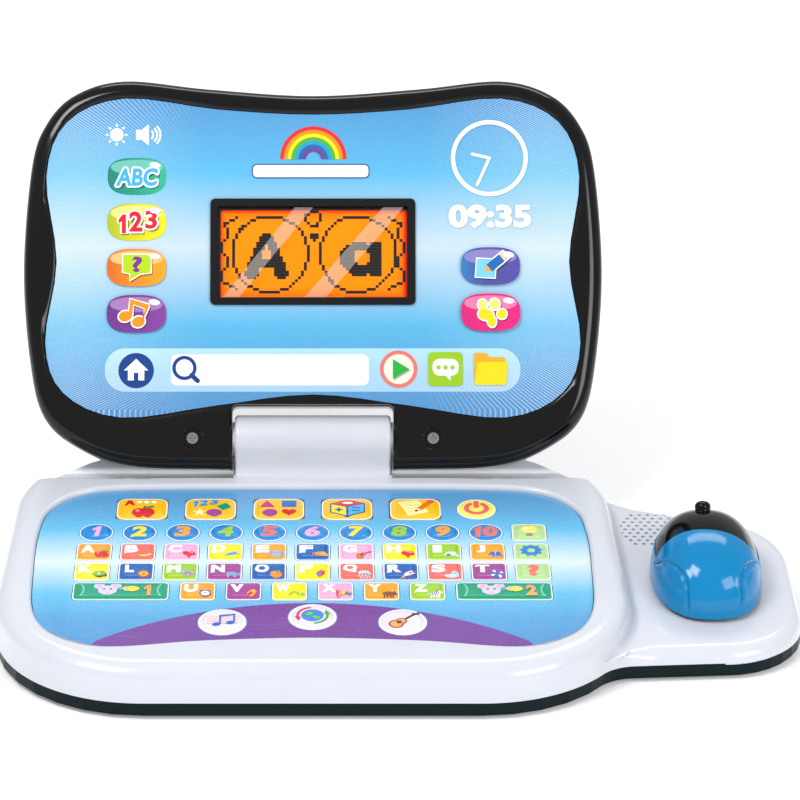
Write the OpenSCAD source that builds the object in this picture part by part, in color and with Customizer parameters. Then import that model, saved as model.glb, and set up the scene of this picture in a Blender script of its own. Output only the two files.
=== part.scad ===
// Toy laptop computer for young children: a bone-shaped lid with a small screen, hinged on a
// white base with a flat keyboard, and a captive mouse that slides on a lower wing at the right.
// The lid is open. Front is -Y, up is +Z, and the object stands on its rubber feet at Z = 0.

/* [Main body] */
// Half width of the main body at its widest
body_half_w = 124.5; // [118:0.5:128]
// Corner radius at the front of the main body
front_r = 60; // [50:70]
// Corner radius at the back of the main body
back_r = 46; // [36:52]
// How far the front edge lies in front of the origin
front_y = 122; // [116:126]
// How far the back edge lies behind the origin
back_y = 53; // [52:56]
// Slope of the keyboard, falling towards the user, in degrees
tilt = 4; // [2:0.5:5]
// Height of the keyboard film at its number row
row_z = 27; // [26:0.5:29]
// Height of the rim above the keyboard film
rim_h = 2; // [1.5:0.1:2.4]
// Height of the joint between the white top and the dark bottom
split_z = 7; // [6:0.5:8]
// Wall thickness of the casings
wall = 2.4; // [2:0.1:2.8]

/* [Wing] */
// Height of the wing at its front edge
wing_z = 12.5; // [12:0.5:14]
// Distance of the wing's right edge from the origin
wing_x = 157.5; // [154:0.5:160]
// Distance of the wing's front edge from the origin
wing_front = 90; // [86:94]

/* [Lid] */
// Angle by which the open lid leans back from upright, in degrees
lean = 29; // [20:35]
// Distance of the lid's front rim from the hinge axis
lid_front_d = 9.5; // [9:0.1:9.8]
// Distance of the lid's back from the hinge axis
lid_back_d = 11; // [10:0.5:11.5]
// Radius of the hinge knuckle
knuckle_r = 12; // [11:0.5:12.5]
// Radius of the hollow hinge pins
pin_r = 4.05; // [3.9:0.05:4.2]
// Running clearance between a pin and the knuckle
pin_gap = 0.05; // [0.02:0.01:0.08]

/* [Screen] */
// Width of the screen frame
lcd_w = 85.6; // [80:0.2:90]
// Height of the screen frame
lcd_h = 44.7; // [42:0.1:48]
// Width of the visible screen
view_w = 80; // [76:82]
// Height of the visible screen
view_h = 38.7; // [36:0.1:40]

/* [Keys] */
// Distance between key centres along a row
pitch = 17.5; // [17:0.1:18]
// Distance between the key rows
row_pitch = 15.5; // [15.3:0.1:15.8]
// Width of a letter key
key_w = 14; // [13:0.1:14.5]
// Height of a letter key
key_h = 13.4; // [13:0.1:13.8]
// Height of a key above the keyboard film
key_up = 0.9; // [0.6:0.1:1.2]

/* [Mouse] */
// Length of the mouse
mouse_l = 64; // [60:66]
// Width of the mouse
mouse_w = 44; // [42:46]
// Height of the mouse above the wing
mouse_h = 27.5; // [25:0.5:29]
// How far the mouse slides each way
mouse_travel = 4; // [3:0.5:4]

/* [Hidden] */
$fn = 48;
function_keys = [
    ["key_first_words", -69.8], ["key_counting", -41.8], ["key_shapes", -13.9],
    ["key_music_blocks", 14], ["key_writing", 41.8]
];

body_x = -35.5;                         // centre line of the main body and of the lid
row_y = -15.6;                          // the number row, where the deck's own frame has its origin
hinge_y = 40;
hinge_z = 43;
trough_r = 17.5;                        // the base is hollowed round the lid's lower edge
knuckle_w = 65;
pin_from = 20;                          // ends of a hinge pin, measured from the lid's centre line
pin_to = 42;
pin_boss_r = 7.4;
notch_w = 67.2;
notch_top = 14.1;                       // height of the lid's notch above the hinge axis
film_t = 0.35;
guide_t = 1.85;
key_gap = 0.25;                         // clearance round each key in the film and the guide
plate_under = -(film_t + guide_t);
shelf_w = 3;
mouse_x = 121.5;
mouse_y = -38;
front_d_deck = 7.7;                     // the faceplate lies on the lid's front at this depth
screw_r = 1.3;
boss_in = 7.4;                          // how far the screw bosses stand in from the outer wall
front_boss = (front_r - boss_in) * [cos(50), -sin(50)] + [body_half_w - front_r, front_r - front_y];
back_boss = (back_r - boss_in) * [cos(40), sin(40)] + [body_half_w - 2.5 - back_r, back_y - back_r];
base_screw_spots = [
    [body_x - front_boss[0], front_boss[1]], [body_x + front_boss[0], front_boss[1]],
    [body_x - back_boss[0], back_boss[1]], [body_x + back_boss[0], back_boss[1]],
    [body_x, boss_in - front_y], [body_x - body_half_w + boss_in, -35], [148, -62], [142, 0]
];
foot_spots = [[-124, -88], [52, -88], [-122, 22], [50, 22], [142, -30]];
lid_back_screw_spots = [[-98, 30], [98, 30], [-92, 128], [92, 128]];
cells = [-9.5, 6.3];                    // Y of the two battery cells
cell_x = -70;                           // left end of the cells
cell_l = 50;
cell_r = 7.2;
cell_z = 10.9;
speaker_spot = [103, 4];
// Right halves of the smooth outlines, from the bottom to the top: lid, faceplate and keyboard film.
lid_half = [[0, -13], [38, -12.5], [76, -11.2], [98, -3.5], [112, 9], [118, 32], [121, 71],
    [118, 114], [112, 132.5], [100, 145], [79, 151], [44, 147.6], [0, 144.8]];
face_half = [[0, 18.2], [40, 13.6], [80, 8.6], [104, 19], [111.5, 40], [107, 74],
    [111.5, 110], [103, 133], [79, 143], [40, 138.4], [0, 136.2]];
film_half = [[0, -82.6], [42, -84.6], [79, -88.8], [99, -80], [108.5, -62], [110.8, -28],
    [110.6, 0], [106.5, 19], [91, 32.6], [58, 35.6], [0, 35.5]];
// Centres of the key rows.
mode_v = 19.2;
edge_u = 5 * pitch;
row_b = -row_pitch;
row_c = -2 * row_pitch;
row_d = -2 * row_pitch - 15.1;
letter_pitch = 18.06;
// Every key: [node, centre across, centre up the slope, width, height]; height 0 means round.
KEYS = concat(
    [for (k = function_keys) [k[0], k[1], mode_v, 20.8, 17.2]],
    [["key_power", 67, mode_v, 16, 0]],
    [for (i = [0:9]) [str("key_", i + 1), (i - 5) * pitch, 0, 13.8, 0]],
    [["key_hint", edge_u, 0, key_w, key_h], ["key_settings", edge_u, row_b, key_w, key_h],
     ["key_help", edge_u, row_c, key_w, key_h]],
    [for (i = [0:9]) ["keys_a_to_j", (i - 5) * pitch, row_b, key_w, key_h]],
    [for (i = [0:9]) ["keys_k_to_t", (i - 5) * pitch, row_c, key_w, key_h]],
    [for (i = [0:5]) ["keys_u_to_z", (i - 2.5) * letter_pitch, row_d, key_w, key_h]],
    [["key_player_1", -75.3, row_d, 37.8, key_h], ["key_player_2", 75.3, row_d, 37.8, key_h],
     ["key_melody", -34.9, -69.2, 18.8, 0], ["key_language", 0, -65.4, 18.8, 0],
     ["key_guitar", 34.9, -69.2, 18.8, 0]]);
key_blue = [0.04, 0.52, 0.81];
key_yellow = [1, 0.76, 0.04];
key_green = [0.71, 0.85, 0.56];
key_orange = [0.96, 0.63, 0];
key_player = [0, 0.6, 0.45];
key_lilac = [0.89, 0.85, 0.93];

// ---- outlines -------------------------------------------------------------------------------

function deck_z(y) = row_z + (y - row_y) * tan(tilt);
function wing_top(y) = wing_z + (y + wing_front) * tan(tilt);
function arc(c, r, from, to, n = 8) =
    [for (i = [0:n]) c + r * [cos(from + (to - from) * i / n), sin(from + (to - from) * i / n)]];

// Four round corners, counter-clockwise from the front right: [centre, radius] each.
function four_corners(corners, inset) = concat(
    arc(corners[0][0], corners[0][1] - inset, -90, 0),
    arc(corners[1][0], corners[1][1] - inset, 0, 90),
    arc(corners[2][0], corners[2][1] - inset, 90, 180),
    arc(corners[3][0], corners[3][1] - inset, 180, 270));

function main_outline(inset = 0) = four_corners([
    [[body_x + body_half_w - front_r, front_r - front_y], front_r],
    [[body_x + body_half_w - 2.5 - back_r, back_y - back_r], back_r],
    [[body_x - body_half_w + 2.5 + back_r, back_y - back_r], back_r],
    [[body_x - body_half_w + front_r, front_r - front_y], front_r]], inset);

function wing_outline(inset = 0) = four_corners([
    [[wing_x - 33, 33 - wing_front], 33],
    [[wing_x - 34, -18], 34],
    [[70, 14], 20],
    [[70, 16.5 - wing_front], 20]], inset);

// A closed smooth curve through points: right half from the bottom to the top, mirrored.
function whole(half) = concat(half, [for (i = [len(half) - 2:-1:1]) [-half[i][0], half[i][1]]]);
function at(p, i) = p[(i + len(p)) % len(p)];
function on_curve(p, i, t) = 0.5 * (2 * at(p, i) + (at(p, i + 1) - at(p, i - 1)) * t
    + (2 * at(p, i - 1) - 5 * at(p, i) + 4 * at(p, i + 1) - at(p, i + 2)) * t * t
    + (3 * at(p, i) - at(p, i - 1) - 3 * at(p, i + 1) + at(p, i + 2)) * t * t * t);
function along_curve(p, i, t) = 0.5 * ((at(p, i + 1) - at(p, i - 1))
    + 2 * (2 * at(p, i - 1) - 5 * at(p, i) + 4 * at(p, i + 1) - at(p, i + 2)) * t
    + 3 * (3 * at(p, i) - at(p, i - 1) - 3 * at(p, i + 1) + at(p, i + 2)) * t * t);
function inward(d) = [-d[1], d[0]] / norm(d);
function smooth(half, inset = 0, steps = 4) = let (p = whole(half))
    [for (i = [0:len(p) - 1], s = [0:steps - 1])
        on_curve(p, i, s / steps) + inset * inward(along_curve(p, i, s / steps))];

// ---- frames and general shapes ----------------------------------------------------------------

// The deck's frame: X across, Y up the slope, Z out of the keyboard film, origin in the number row.
module on_deck() {
    translate([body_x, row_y, row_z]) rotate([tilt, 0, 0]) children();
}

// The lid's frame: X across, Y up the lid, Z out of its front, origin on the hinge axis.
module on_lid() {
    translate([body_x, hinge_y, hinge_z]) rotate([90 - lean, 0, 0]) children();
}

// The mouse's frame: Z out of the wing's top, origin under the middle of the mouse.
module on_wing() {
    translate([mouse_x, mouse_y, wing_top(mouse_y)]) rotate([tilt, 0, 0]) children();
}

function lifted(outline, z) = [for (p = outline) [p[0], p[1], z]];

// One strip across a ring of n points, between the points on either side of its first one.
function strip(n, i) = i == 0 ? [0, 1, n - 1]
    : i == n / 2 - 1 ? [i, n / 2, n / 2 + 1]
    : [i, i + 1, n - 1 - i, n - i];
function reversed(list) = [for (i = [len(list) - 1:-1:0]) list[i]];

// A solid skin through closed rings of 3-D points, the lowest ring first. Rings that aren't convex
// are mirrored about their first point, and their ends are closed in strips.
module skin(rings, strips = false) {
    n = len(rings[0]);
    last = len(rings) - 1;
    sides = [for (k = [0:last - 1], i = [0:n - 1], half = [0, 1])
        let (j = (i + 1) % n, a = k * n, b = a + n)
        half == 0 ? [b + i, b + j, a + i] : [b + j, a + j, a + i]];
    ends = strips ? [for (i = [0:n / 2 - 1]) strip(n, i)] : [[for (i = [0:n - 1]) i]];
    polyhedron([for (r = rings) for (p = r) p],
        concat(ends, sides, [for (e = ends) [for (k = reversed(e)) last * n + k]]));
}

module slab(outline, from, to) {
    translate([0, 0, from]) linear_extrude(to - from) polygon(outline);
}

module round_box(w, h, r, from, to) {
    translate([0, 0, from]) linear_extrude(to - from)
        offset(r = r, $fn = 12) square([w - 2 * r, h - 2 * r], center = true);
}

module rod_x(r, from, to) {
    translate([from, 0, 0]) rotate([0, 90, 0]) cylinder(r = r, h = to - from);
}

// Everything below a sloping plane at height z over the origin.
module below(z) {
    translate([0, 0, z]) rotate([tilt, 0, 0]) translate([-250, -250, -100]) cube([500, 500, 100]);
}

// A round-headed screw with a cross recess; its head's seat is at Z = 0 and its point is down.
module screw(shaft, head_r = 2.35, head_h = 1.8) {
    difference() {
        union() {
            cylinder(r = head_r, h = head_h);
            translate([0, 0, -shaft]) cylinder(r = screw_r, h = shaft + 0.5);
        }
        for (turn = [0, 90]) rotate(turn)
            translate([-head_r * 0.62, -0.4, head_h - 1]) cube([head_r * 1.24, 0.8, 2]);
    }
}

// A wire of radius r through points, as one swept skin.
function unit(v) = v / norm(v);
function wire_ring(points, i, r) = let (
        last = len(points) - 1,
        t = unit(points[min(i + 1, last)] - points[max(i - 1, 0)]),
        u = unit(cross(t, [0.4, 0.5, 0.77])),
        v = cross(t, u))
    [for (k = [0:7]) points[i] + r * (cos(k * 45) * u + sin(k * 45) * v)];
module wire(points, r) {
    skin([for (i = [0:len(points) - 1]) wire_ring(points, i, r)]);
}

// ---- base casings -------------------------------------------------------------------------------

module base_outline(inset = 0) {
    offset(delta = -inset) offset(r = -18, $fn = 48) offset(delta = 18) {
        polygon(main_outline());
        polygon(wing_outline());
    }
}

// The rounded top of one outline: rings that step in as they rise to the sloping plane.
module domed(outlines, heights) {
    skin([for (k = [0:len(heights) - 1]) [for (p = outlines[k])
        [p[0], p[1], k == 0 ? split_z : heights[k] + p[1] * tan(tilt)]]]);
}

module main_dome() {
    insets = [0, 0, 1.1, 3.2, 6.5];
    drops = [0, 5.2, 2, 0.6, 0];
    top = deck_z(0) + rim_h;
    domed([for (i = insets) main_outline(i)], [for (d = drops) top - d]);
}

module wing_dome() {
    insets = [0, 0, 0.8, 2.6];
    drops = [0, 2.8, 0.8, 0];
    domed([for (i = insets) wing_outline(i)], [for (d = drops) wing_top(0) - d]);
}

module base_hollow() {
    intersection() {
        translate([0, 0, -1]) linear_extrude(60) polygon(main_outline(wall));
        below(deck_z(0) - 2.6);
    }
    intersection() {
        translate([0, 0, -1]) linear_extrude(60) polygon(wing_outline(wall));
        below(wing_top(0) - 2.2);
    }
    translate([0, 0, -1]) linear_extrude(10.5) base_outline(wall);
}

module trough_liner() {
    intersection() {
        translate([body_x, hinge_y, hinge_z]) rod_x(trough_r + 2.2, -123, 123);
        translate([0, 0, 20]) linear_extrude(13) polygon(main_outline(1));
        below(deck_z(0) + rim_h - 0.1);
    }
}

module knuckle() {
    translate([body_x, hinge_y, hinge_z]) {
        rod_x(knuckle_r, -knuckle_w / 2, knuckle_w / 2);
        translate([-knuckle_w / 2, -knuckle_r, -15]) cube([knuckle_w, 2 * knuckle_r, 15]);
    }
}

module speaker_holes() {
    for (row = [-4:4], col = [-4:4])
        if (norm([row * 3.4, col * 3.4]) < 14)
            translate([speaker_spot[0] + col * 3.4 + (row % 2) * 1.7, speaker_spot[1] + row * 3.4, 9])
                cylinder(r = 0.85, h = 14, $fn = 16);
}

module base_top() color("white") difference() {
    union() {
        difference() {
            union() {
                main_dome();
                wing_dome();
                translate([0, 0, split_z]) linear_extrude(4) base_outline();
            }
            base_hollow();
        }
        on_deck() slab(smooth(film_half, -2), plate_under - 2.2, plate_under);
        trough_liner();
        knuckle();
        on_wing() for (q = [-13.9, 12.3]) translate([-22, q, -5.2]) cube([44, 1.6, 3.2]);
        for (s = base_screw_spots) intersection() {
            translate([s[0], s[1], 10]) cylinder(r = 3.4, h = 20);
            below(min(deck_z(0) - 1, s[0] > 95 ? wing_top(0) - 1 : 99));
        }
    }
    on_deck() slab(smooth(film_half), plate_under, 8);
    on_deck() slab(smooth(film_half, shelf_w), -20, 8);
    translate([body_x, hinge_y, hinge_z]) {
        for (side = [-1, 1]) scale([side, 1, 1]) rod_x(trough_r, notch_w / 2 - 0.4, 140);
        rod_x(pin_r + pin_gap, -40, 40);
        rod_x(knuckle_r - 2.5, -15, 15);
        translate([-15, -knuckle_r + 2.5, -20]) cube([30, 2 * knuckle_r - 5, 20]);
    }
    for (s = base_screw_spots) translate([s[0], s[1], 8]) cylinder(r = screw_r, h = 6.5);
    speaker_holes();
    on_wing() translate([-8.5, -8.5, -6]) cube([17, 17, 10]);
}

module battery_box(grow, from, to) {
    translate([cell_x - 5 - grow, cells[0] - 8 - grow, from])
        cube([cell_l + 10 + 2 * grow, cells[1] - cells[0] + 16 + 2 * grow, to - from]);
}

module base_bottom() color([0.09, 0.16, 0.17]) difference() {
    union() {
        difference() {
            union() {
                translate([0, 0, 1.2]) linear_extrude(1.2) base_outline(1);
                translate([0, 0, 2.4]) linear_extrude(split_z - 2.4) base_outline();
                translate([0, 0, 3]) linear_extrude(6.5) base_outline(wall + 0.15);
            }
            translate([0, 0, 3.4]) linear_extrude(10) base_outline(wall + 1.6);
        }
        battery_box(1.6, 1.2, 20);
        for (s = base_screw_spots) translate([s[0], s[1], 1.2]) cylinder(r = 4.4, h = 8.7);
        translate([speaker_spot[0], speaker_spot[1], 3]) difference() {
            cylinder(r = 14, h = 3);
            translate([0, 0, -1]) cylinder(r = 12, h = 6);
        }
    }
    battery_box(0, 0, 18.4);
    for (s = base_screw_spots) translate([s[0], s[1], 0]) {
        cylinder(r = 2.8, h = 5);
        cylinder(r = screw_r + 0.2, h = 12);
    }
}

module battery_door() color([0.09, 0.16, 0.17]) difference() {
    battery_box(-0.3, 1.2, 3.2);
    translate([cell_x + cell_l + 2.2, (cells[0] + cells[1]) / 2, 0]) {
        cylinder(r = 2.6, h = 2);
        cylinder(r = screw_r, h = 6);
    }
}

module battery_door_screw() color("silver")
    translate([cell_x + cell_l + 2.2, (cells[0] + cells[1]) / 2, 2]) mirror([0, 0, 1])
        screw(3.5, 2.3, 0.7);

module batteries() color("goldenrod") for (i = [0, 1])
    translate([cell_x + (i == 0 ? 0 : cell_l), cells[i], cell_z]) scale([i == 0 ? 1 : -1, 1, 1]) {
        rod_x(cell_r, 0, cell_l - 1);
        rod_x(2.6, cell_l - 1.01, cell_l);
    }

module battery_contacts() color("silver") for (end = [0, 1], i = [0, 1])
    translate([end == 0 ? cell_x - 5 : cell_x + cell_l + 4.5, cells[i], cell_z]) {
        translate([0, -5.5, -6]) cube([0.5, 11, 12]);
        if (end == i) scale([end == 0 ? 1 : -1, 1, 1])
            rod_x(3.6, end == 0 ? 0.5 : 0, end == 0 ? 4.9 : 4.4);
        else scale([end == 0 ? 1 : -1, 1, 1])
            rod_x(1.6, end == 0 ? 0.5 : 0, end == 0 ? 4.9 : 4.4);
    }

// ---- keyboard -----------------------------------------------------------------------------------

module key_prism(key, grow, from, to) {
    translate([key[1], key[2], 0])
        if (key[4] == 0) translate([0, 0, from]) cylinder(r = key[3] / 2 + grow, h = to - from);
        else round_box(key[3] + 2 * grow, key[4] + 2 * grow, 2 + grow, from, to);
}

module key_holes() {
    for (key = KEYS) key_prism(key, key_gap, -10, 10);
}

// A key stands in its hole, and a wider foot under the guide keeps it in.
module keys_of(name, shade) {
    color(shade) on_deck() for (key = KEYS) if (key[0] == name) {
        key_prism(key, 0, plate_under - 0.5, key_up);
        key_prism(key, 0.65, plate_under - 1.3, plate_under - 0.4);
    }
}

module keyboard_overlay() color([0.42, 0.75, 0.93]) on_deck() difference() {
    slab(smooth(film_half, 0.15), -film_t, 0);
    key_holes();
}

module key_guide() color([0.85, 0.88, 0.9]) on_deck() difference() {
    slab(smooth(film_half, 0.15), plate_under, -film_t);
    key_holes();
}

module switch_membrane() color([0.75, 0.8, 0.82]) on_deck()
    slab(smooth(film_half, shelf_w + 1), -5.6, -4.7);

// ---- base internals -----------------------------------------------------------------------------

module main_board() color([0.1, 0.4, 0.2]) translate([body_x, -66, 8]) {
    translate([-62, -26, 0]) cube([124, 44, 1.6]);
    translate([0, 0, 1.6]) cylinder(r = 7, h = 1.6);
    translate([-40, -12, 1.6]) cube([12, 9, 1.4]);
    translate([28, -14, 1.6]) cube([10, 18, 1.2]);
    translate([-10, 10, 1.6]) cube([20, 5, 3]);
}

module speaker() color([0.2, 0.2, 0.2]) translate([speaker_spot[0], speaker_spot[1], 3.6])
    rotate_extrude() polygon([[0, 0], [9, 0], [9, 5], [13.6, 8.6], [14.8, 8.6], [14.8, 10],
        [12.8, 10], [12, 9.2], [6, 6.6], [0, 8]]);

module base_screws() color("silver") for (s = base_screw_spots)
    translate([s[0], s[1], 5]) mirror([0, 0, 1]) screw(9.3);

module rubber_feet() color([0.15, 0.15, 0.16]) for (s = foot_spots)
    translate([s[0], s[1], 0]) cylinder(r = 6, h = 1.2);

module hinge_rings() color("white") translate([body_x, hinge_y, hinge_z]) for (side = [-1, 1])
    scale([side, 1, 1]) difference() {
        rod_x(7.5, knuckle_w / 2, knuckle_w / 2 + 0.9);
        rod_x(pin_r + pin_gap, knuckle_w / 2 - 1, knuckle_w / 2 + 2);
    }

module base_cable() color([0.2, 0.2, 0.22]) translate([body_x, hinge_y, hinge_z])
    wire([[-19.4, 0, 0], [0, 0, 0], [6, 0, -2], [9, 0, -7], [10, 0, -20], [13, -1, -22], [22, -3, -23.5],
        [26, -10, -24.5], [27, -70, -30], [27, -84, -31.4], [27, -92, -32]], 1.2);

// ---- lid ----------------------------------------------------------------------------------------

module lid_notch() {
    translate([-notch_w / 2, -40, -30]) cube([notch_w, 40 + notch_top, 60]);
}

// The lid's outline with the notch cut in from below, shrunk by the wall.
module lid_inside(inset) {
    offset(delta = -inset) difference() {
        polygon(smooth(lid_half));
        translate([-notch_w / 2, -40]) square([notch_w, 40 + notch_top]);
    }
}

module lid_front() color([0.05, 0.05, 0.06]) on_lid() difference() {
    union() {
        difference() {
            skin([lifted(smooth(lid_half), 0), lifted(smooth(lid_half), 4.5),
                lifted(smooth(lid_half, 1.4), 7.8), lifted(smooth(lid_half, 4), lid_front_d)],
                strips = true);
            lid_notch();
            translate([0, 0, -1]) linear_extrude(6.7) lid_inside(wall);
        }
        for (s = lid_back_screw_spots) translate([s[0], s[1], -1.4]) cylinder(r = 3.4, h = 8);
    }
    for (s = lid_back_screw_spots) translate([s[0], s[1], -2]) cylinder(r = screw_r, h = 5);
    slab(smooth(face_half), front_d_deck, 20);
    translate([0, 78.1, 0]) cube([view_w + 1, view_h + 1, 40], center = true);
    for (side = [-1, 1]) translate([side * 50, 0.1, 0]) {
        translate([0, 0, 7]) cylinder(r = 4.15, h = 10);
        cylinder(r = screw_r + 0.2, h = 10);
    }
    rod_x(pin_r + 0.3, -pin_to - 1, pin_to + 1);
    for (side = [-1, 1]) scale([side, 1, 1]) rod_x(pin_boss_r + 0.2, notch_w / 2 + 0.8, pin_to + 0.2);
}

module lid_back() color([0.05, 0.05, 0.06]) on_lid() difference() {
    union() {
        difference() {
            skin([lifted(smooth(lid_half, 4), -lid_back_d),
                lifted(smooth(lid_half, 1.4), 1.7 - lid_back_d),
                lifted(smooth(lid_half), 5 - lid_back_d), lifted(smooth(lid_half), -0.05)],
                strips = true);
            lid_notch();
            translate([0, 0, wall - lid_back_d]) linear_extrude(20) lid_inside(wall);
        }
        for (side = [-1, 1]) scale([side, 1, 1]) {
            rod_x(pin_boss_r, notch_w / 2 + 1, pin_to);
            translate([notch_w / 2 + 1, -6, 0.5 - lid_back_d])
                cube([pin_to - notch_w / 2 - 1, 12, lid_back_d - 0.5]);
            translate([50, 0.1, 0.5 - lid_back_d]) cylinder(r = 3.4, h = lid_back_d + 4.8);
        }
        for (s = lid_back_screw_spots) translate([s[0], s[1], 0.5 - lid_back_d]) cylinder(r = 4.4, h = 9);
    }
    for (side = [-1, 1]) translate([side * 50, 0.1, -5]) cylinder(r = screw_r, h = 20);
    for (s = lid_back_screw_spots) translate([s[0], s[1], -lid_back_d - 1]) {
        cylinder(r = 2.8, h = 4);
        cylinder(r = screw_r + 0.2, h = 20);
    }
    rod_x(pin_r, -pin_to - 1, pin_to + 1);
}

module faceplate() color([0.42, 0.75, 0.93]) on_lid() difference() {
    slab(smooth(face_half, 0.15), front_d_deck, front_d_deck + 0.8);
    translate([0, 78.1, 0]) cube([view_w, view_h, 40], center = true);
}

module lcd_frame() color([0.05, 0.05, 0.06]) on_lid() translate([0, 78.1, 0]) difference() {
    round_box(lcd_w, lcd_h, 2, front_d_deck + 0.8, lid_front_d);
    round_box(view_w - 0.4, view_h - 0.4, 1, 0, 20);
}

module lcd_window() color([0.9, 0.9, 0.9, 0.3]) on_lid() translate([0, 78.1, 0])
    round_box(view_w - 0.8, view_h - 0.8, 0.8, 7.4, 8.6);

module lcd_panel() color([0.94, 0.5, 0.05]) on_lid() translate([-44, 78.1 - 22.5, 3.6]) cube([88, 45, 2]);

module lcd_backlight() color("white") on_lid() translate([-43, 78.1 - 21.5, 1.2]) cube([86, 43, 2.3]);

module lcd_board() color([0.1, 0.4, 0.2]) on_lid() translate([-50, 48, -0.6]) {
    cube([100, 62, 1.6]);
    translate([50, 31, -1.5]) cylinder(r = 7, h = 1.6);
    translate([4, 5, -4]) cube([8, 12, 4]);
}

module lid_screws() color("silver") on_lid() {
    for (side = [-1, 1]) translate([side * 50, 0.1, 7]) screw(10.5);
    for (s = lid_back_screw_spots) translate([s[0], s[1], 3 - lid_back_d]) mirror([0, 0, 1]) screw(9);
}

module hinge_pins() color("silver") on_lid() for (side = [-1, 1]) scale([side, 1, 1]) difference() {
    rod_x(pin_r, pin_from, pin_to);
    rod_x(2.2, pin_from - 1, pin_to + 1);
}

module lid_cable() color([0.2, 0.2, 0.22]) on_lid()
    wire([[-46.5, 52, -4.6], [-54, 48, -5], [-57, 40, -5], [-57, 20, -4.5], [-54, 13, -4],
        [-48, 9, -2], [-44.8, 5, -0.7], [-43, 1.2, 0], [-41, 0, 0], [-19.8, 0, 0]], 1.2);

// ---- mouse --------------------------------------------------------------------------------------

// A ring of the mouse's outline at height z, drawn in by the dome's fall-off.
function mouse_ring(z, half_w, half_l, height) = let (f = pow(max(0, 1 - pow(z / height, 2)), 0.5))
    [for (i = [0:35]) let (c = cos(i * 10), s = sin(i * 10))
        [half_w * f * sign(c) * pow(abs(c), 0.85), half_l * f * sign(s) * pow(abs(s), 0.85), z]];

module mouse_dome(inset) {
    height = mouse_h - inset;
    skin([for (k = [0:7]) mouse_ring(height * [0, 0.25, 0.5, 0.68, 0.82, 0.92, 0.975, 0.995][k],
        mouse_w / 2 - inset, mouse_l / 2 - inset, height)]);
}

module mouse_casing(from_q, to_q) {
    difference() {
        intersection() {
            mouse_dome(0);
            translate([-40, from_q, 1.8]) cube([80, to_q - from_q, 40]);
        }
        translate([0, 0, -0.01]) mouse_dome(1.8);
    }
}

module mouse_shell() color([0.05, 0.58, 0.84]) on_wing() {
    mouse_casing(-40, 8);
    translate([-2, -14, 12]) cube([4, 4, 12]);
}

module mouse_head() color([0.06, 0.06, 0.06]) on_wing() {
    mouse_casing(8.02, 40);
    difference() {
        translate([0, 18, 23.6]) sphere(r = 3.3);
        mouse_dome(0.9);
    }
}

module mouse_underplate() color([0.15, 0.15, 0.16]) on_wing() {
    ring = mouse_ring(0, mouse_w / 2 - 2.6, mouse_l / 2 - 2.6, 1);
    skin([lifted(ring, 0.5), lifted(ring, 2.3)]);
    translate([0, 0, -5.6]) cylinder(r = 3.2, h = 6.4);
}

module mouse_retainer() color("silver") on_wing() translate([0, 0, -6.8]) cylinder(r = 7, h = 1.2);

module cross_slide() color([0.3, 0.3, 0.32]) on_wing() difference() {
    translate([-15, -12, -5]) cube([30, 24, 2]);
    translate([-3.3, -4 - mouse_travel, -6]) cube([6.6, 8 + 2 * mouse_travel, 5]);
}

module mouse_click_switch() color([0.2, 0.2, 0.2]) on_wing() translate([0, -12, 2.3]) {
    translate([-8, -8, 0]) cube([16, 16, 1.6]);
    translate([-3, -3, 1.6]) cube([6, 6, 3.5]);
    translate([0, 0, 5]) cylinder(r = 1.5, h = 3.4);
}

// ---- the sub-parts ------------------------------------------------------------------------------

base_top();
base_bottom();
battery_door();
battery_door_screw();
batteries();
battery_contacts();
keyboard_overlay();
key_guide();
switch_membrane();
main_board();
speaker();
base_screws();
rubber_feet();
hinge_rings();
base_cable();
lid_front();
lid_back();
faceplate();
lcd_frame();
lcd_window();
lcd_panel();
lcd_backlight();
lcd_board();
lid_screws();
hinge_pins();
lid_cable();
cross_slide();
mouse_underplate();
mouse_retainer();
mouse_click_switch();
mouse_shell();
mouse_head();
for (k = function_keys)
    keys_of(k[0], key_yellow);
keys_of("key_power", key_yellow);  // key_power
for (i = [1:10])
    keys_of(str("key_", i), key_blue);
for (k = ["key_hint", "key_settings", "key_help"])
    keys_of(k, key_green);
for (k = ["keys_a_to_j", "keys_k_to_t", "keys_u_to_z"])
    keys_of(k, key_orange);
for (k = ["key_player_1", "key_player_2"])
    keys_of(k, key_player);
for (k = ["key_melody", "key_language", "key_guitar"])
    keys_of(k, key_lilac);
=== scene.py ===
"""Looks of the toy laptop computer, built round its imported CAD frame. Lengths are in millimetres
until a piece is placed, and in metres after that."""

import math

import bmesh
import bpy
import numpy as np
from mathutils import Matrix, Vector
from mathutils.geometry import delaunay_2d_cdt, tessellate_polygon


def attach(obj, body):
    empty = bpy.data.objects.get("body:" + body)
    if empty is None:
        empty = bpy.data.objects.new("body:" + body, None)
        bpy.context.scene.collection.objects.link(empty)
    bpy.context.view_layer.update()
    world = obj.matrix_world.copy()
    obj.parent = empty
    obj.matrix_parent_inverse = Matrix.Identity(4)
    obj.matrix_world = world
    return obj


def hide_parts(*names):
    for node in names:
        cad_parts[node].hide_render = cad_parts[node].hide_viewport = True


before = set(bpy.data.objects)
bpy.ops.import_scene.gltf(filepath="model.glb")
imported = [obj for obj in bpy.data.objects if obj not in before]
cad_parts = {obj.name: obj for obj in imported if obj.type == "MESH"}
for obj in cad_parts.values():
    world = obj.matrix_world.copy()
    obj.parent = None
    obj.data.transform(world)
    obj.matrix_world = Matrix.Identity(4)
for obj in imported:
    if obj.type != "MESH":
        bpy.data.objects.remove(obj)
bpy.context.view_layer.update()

# ---- named dimensions ----

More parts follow.
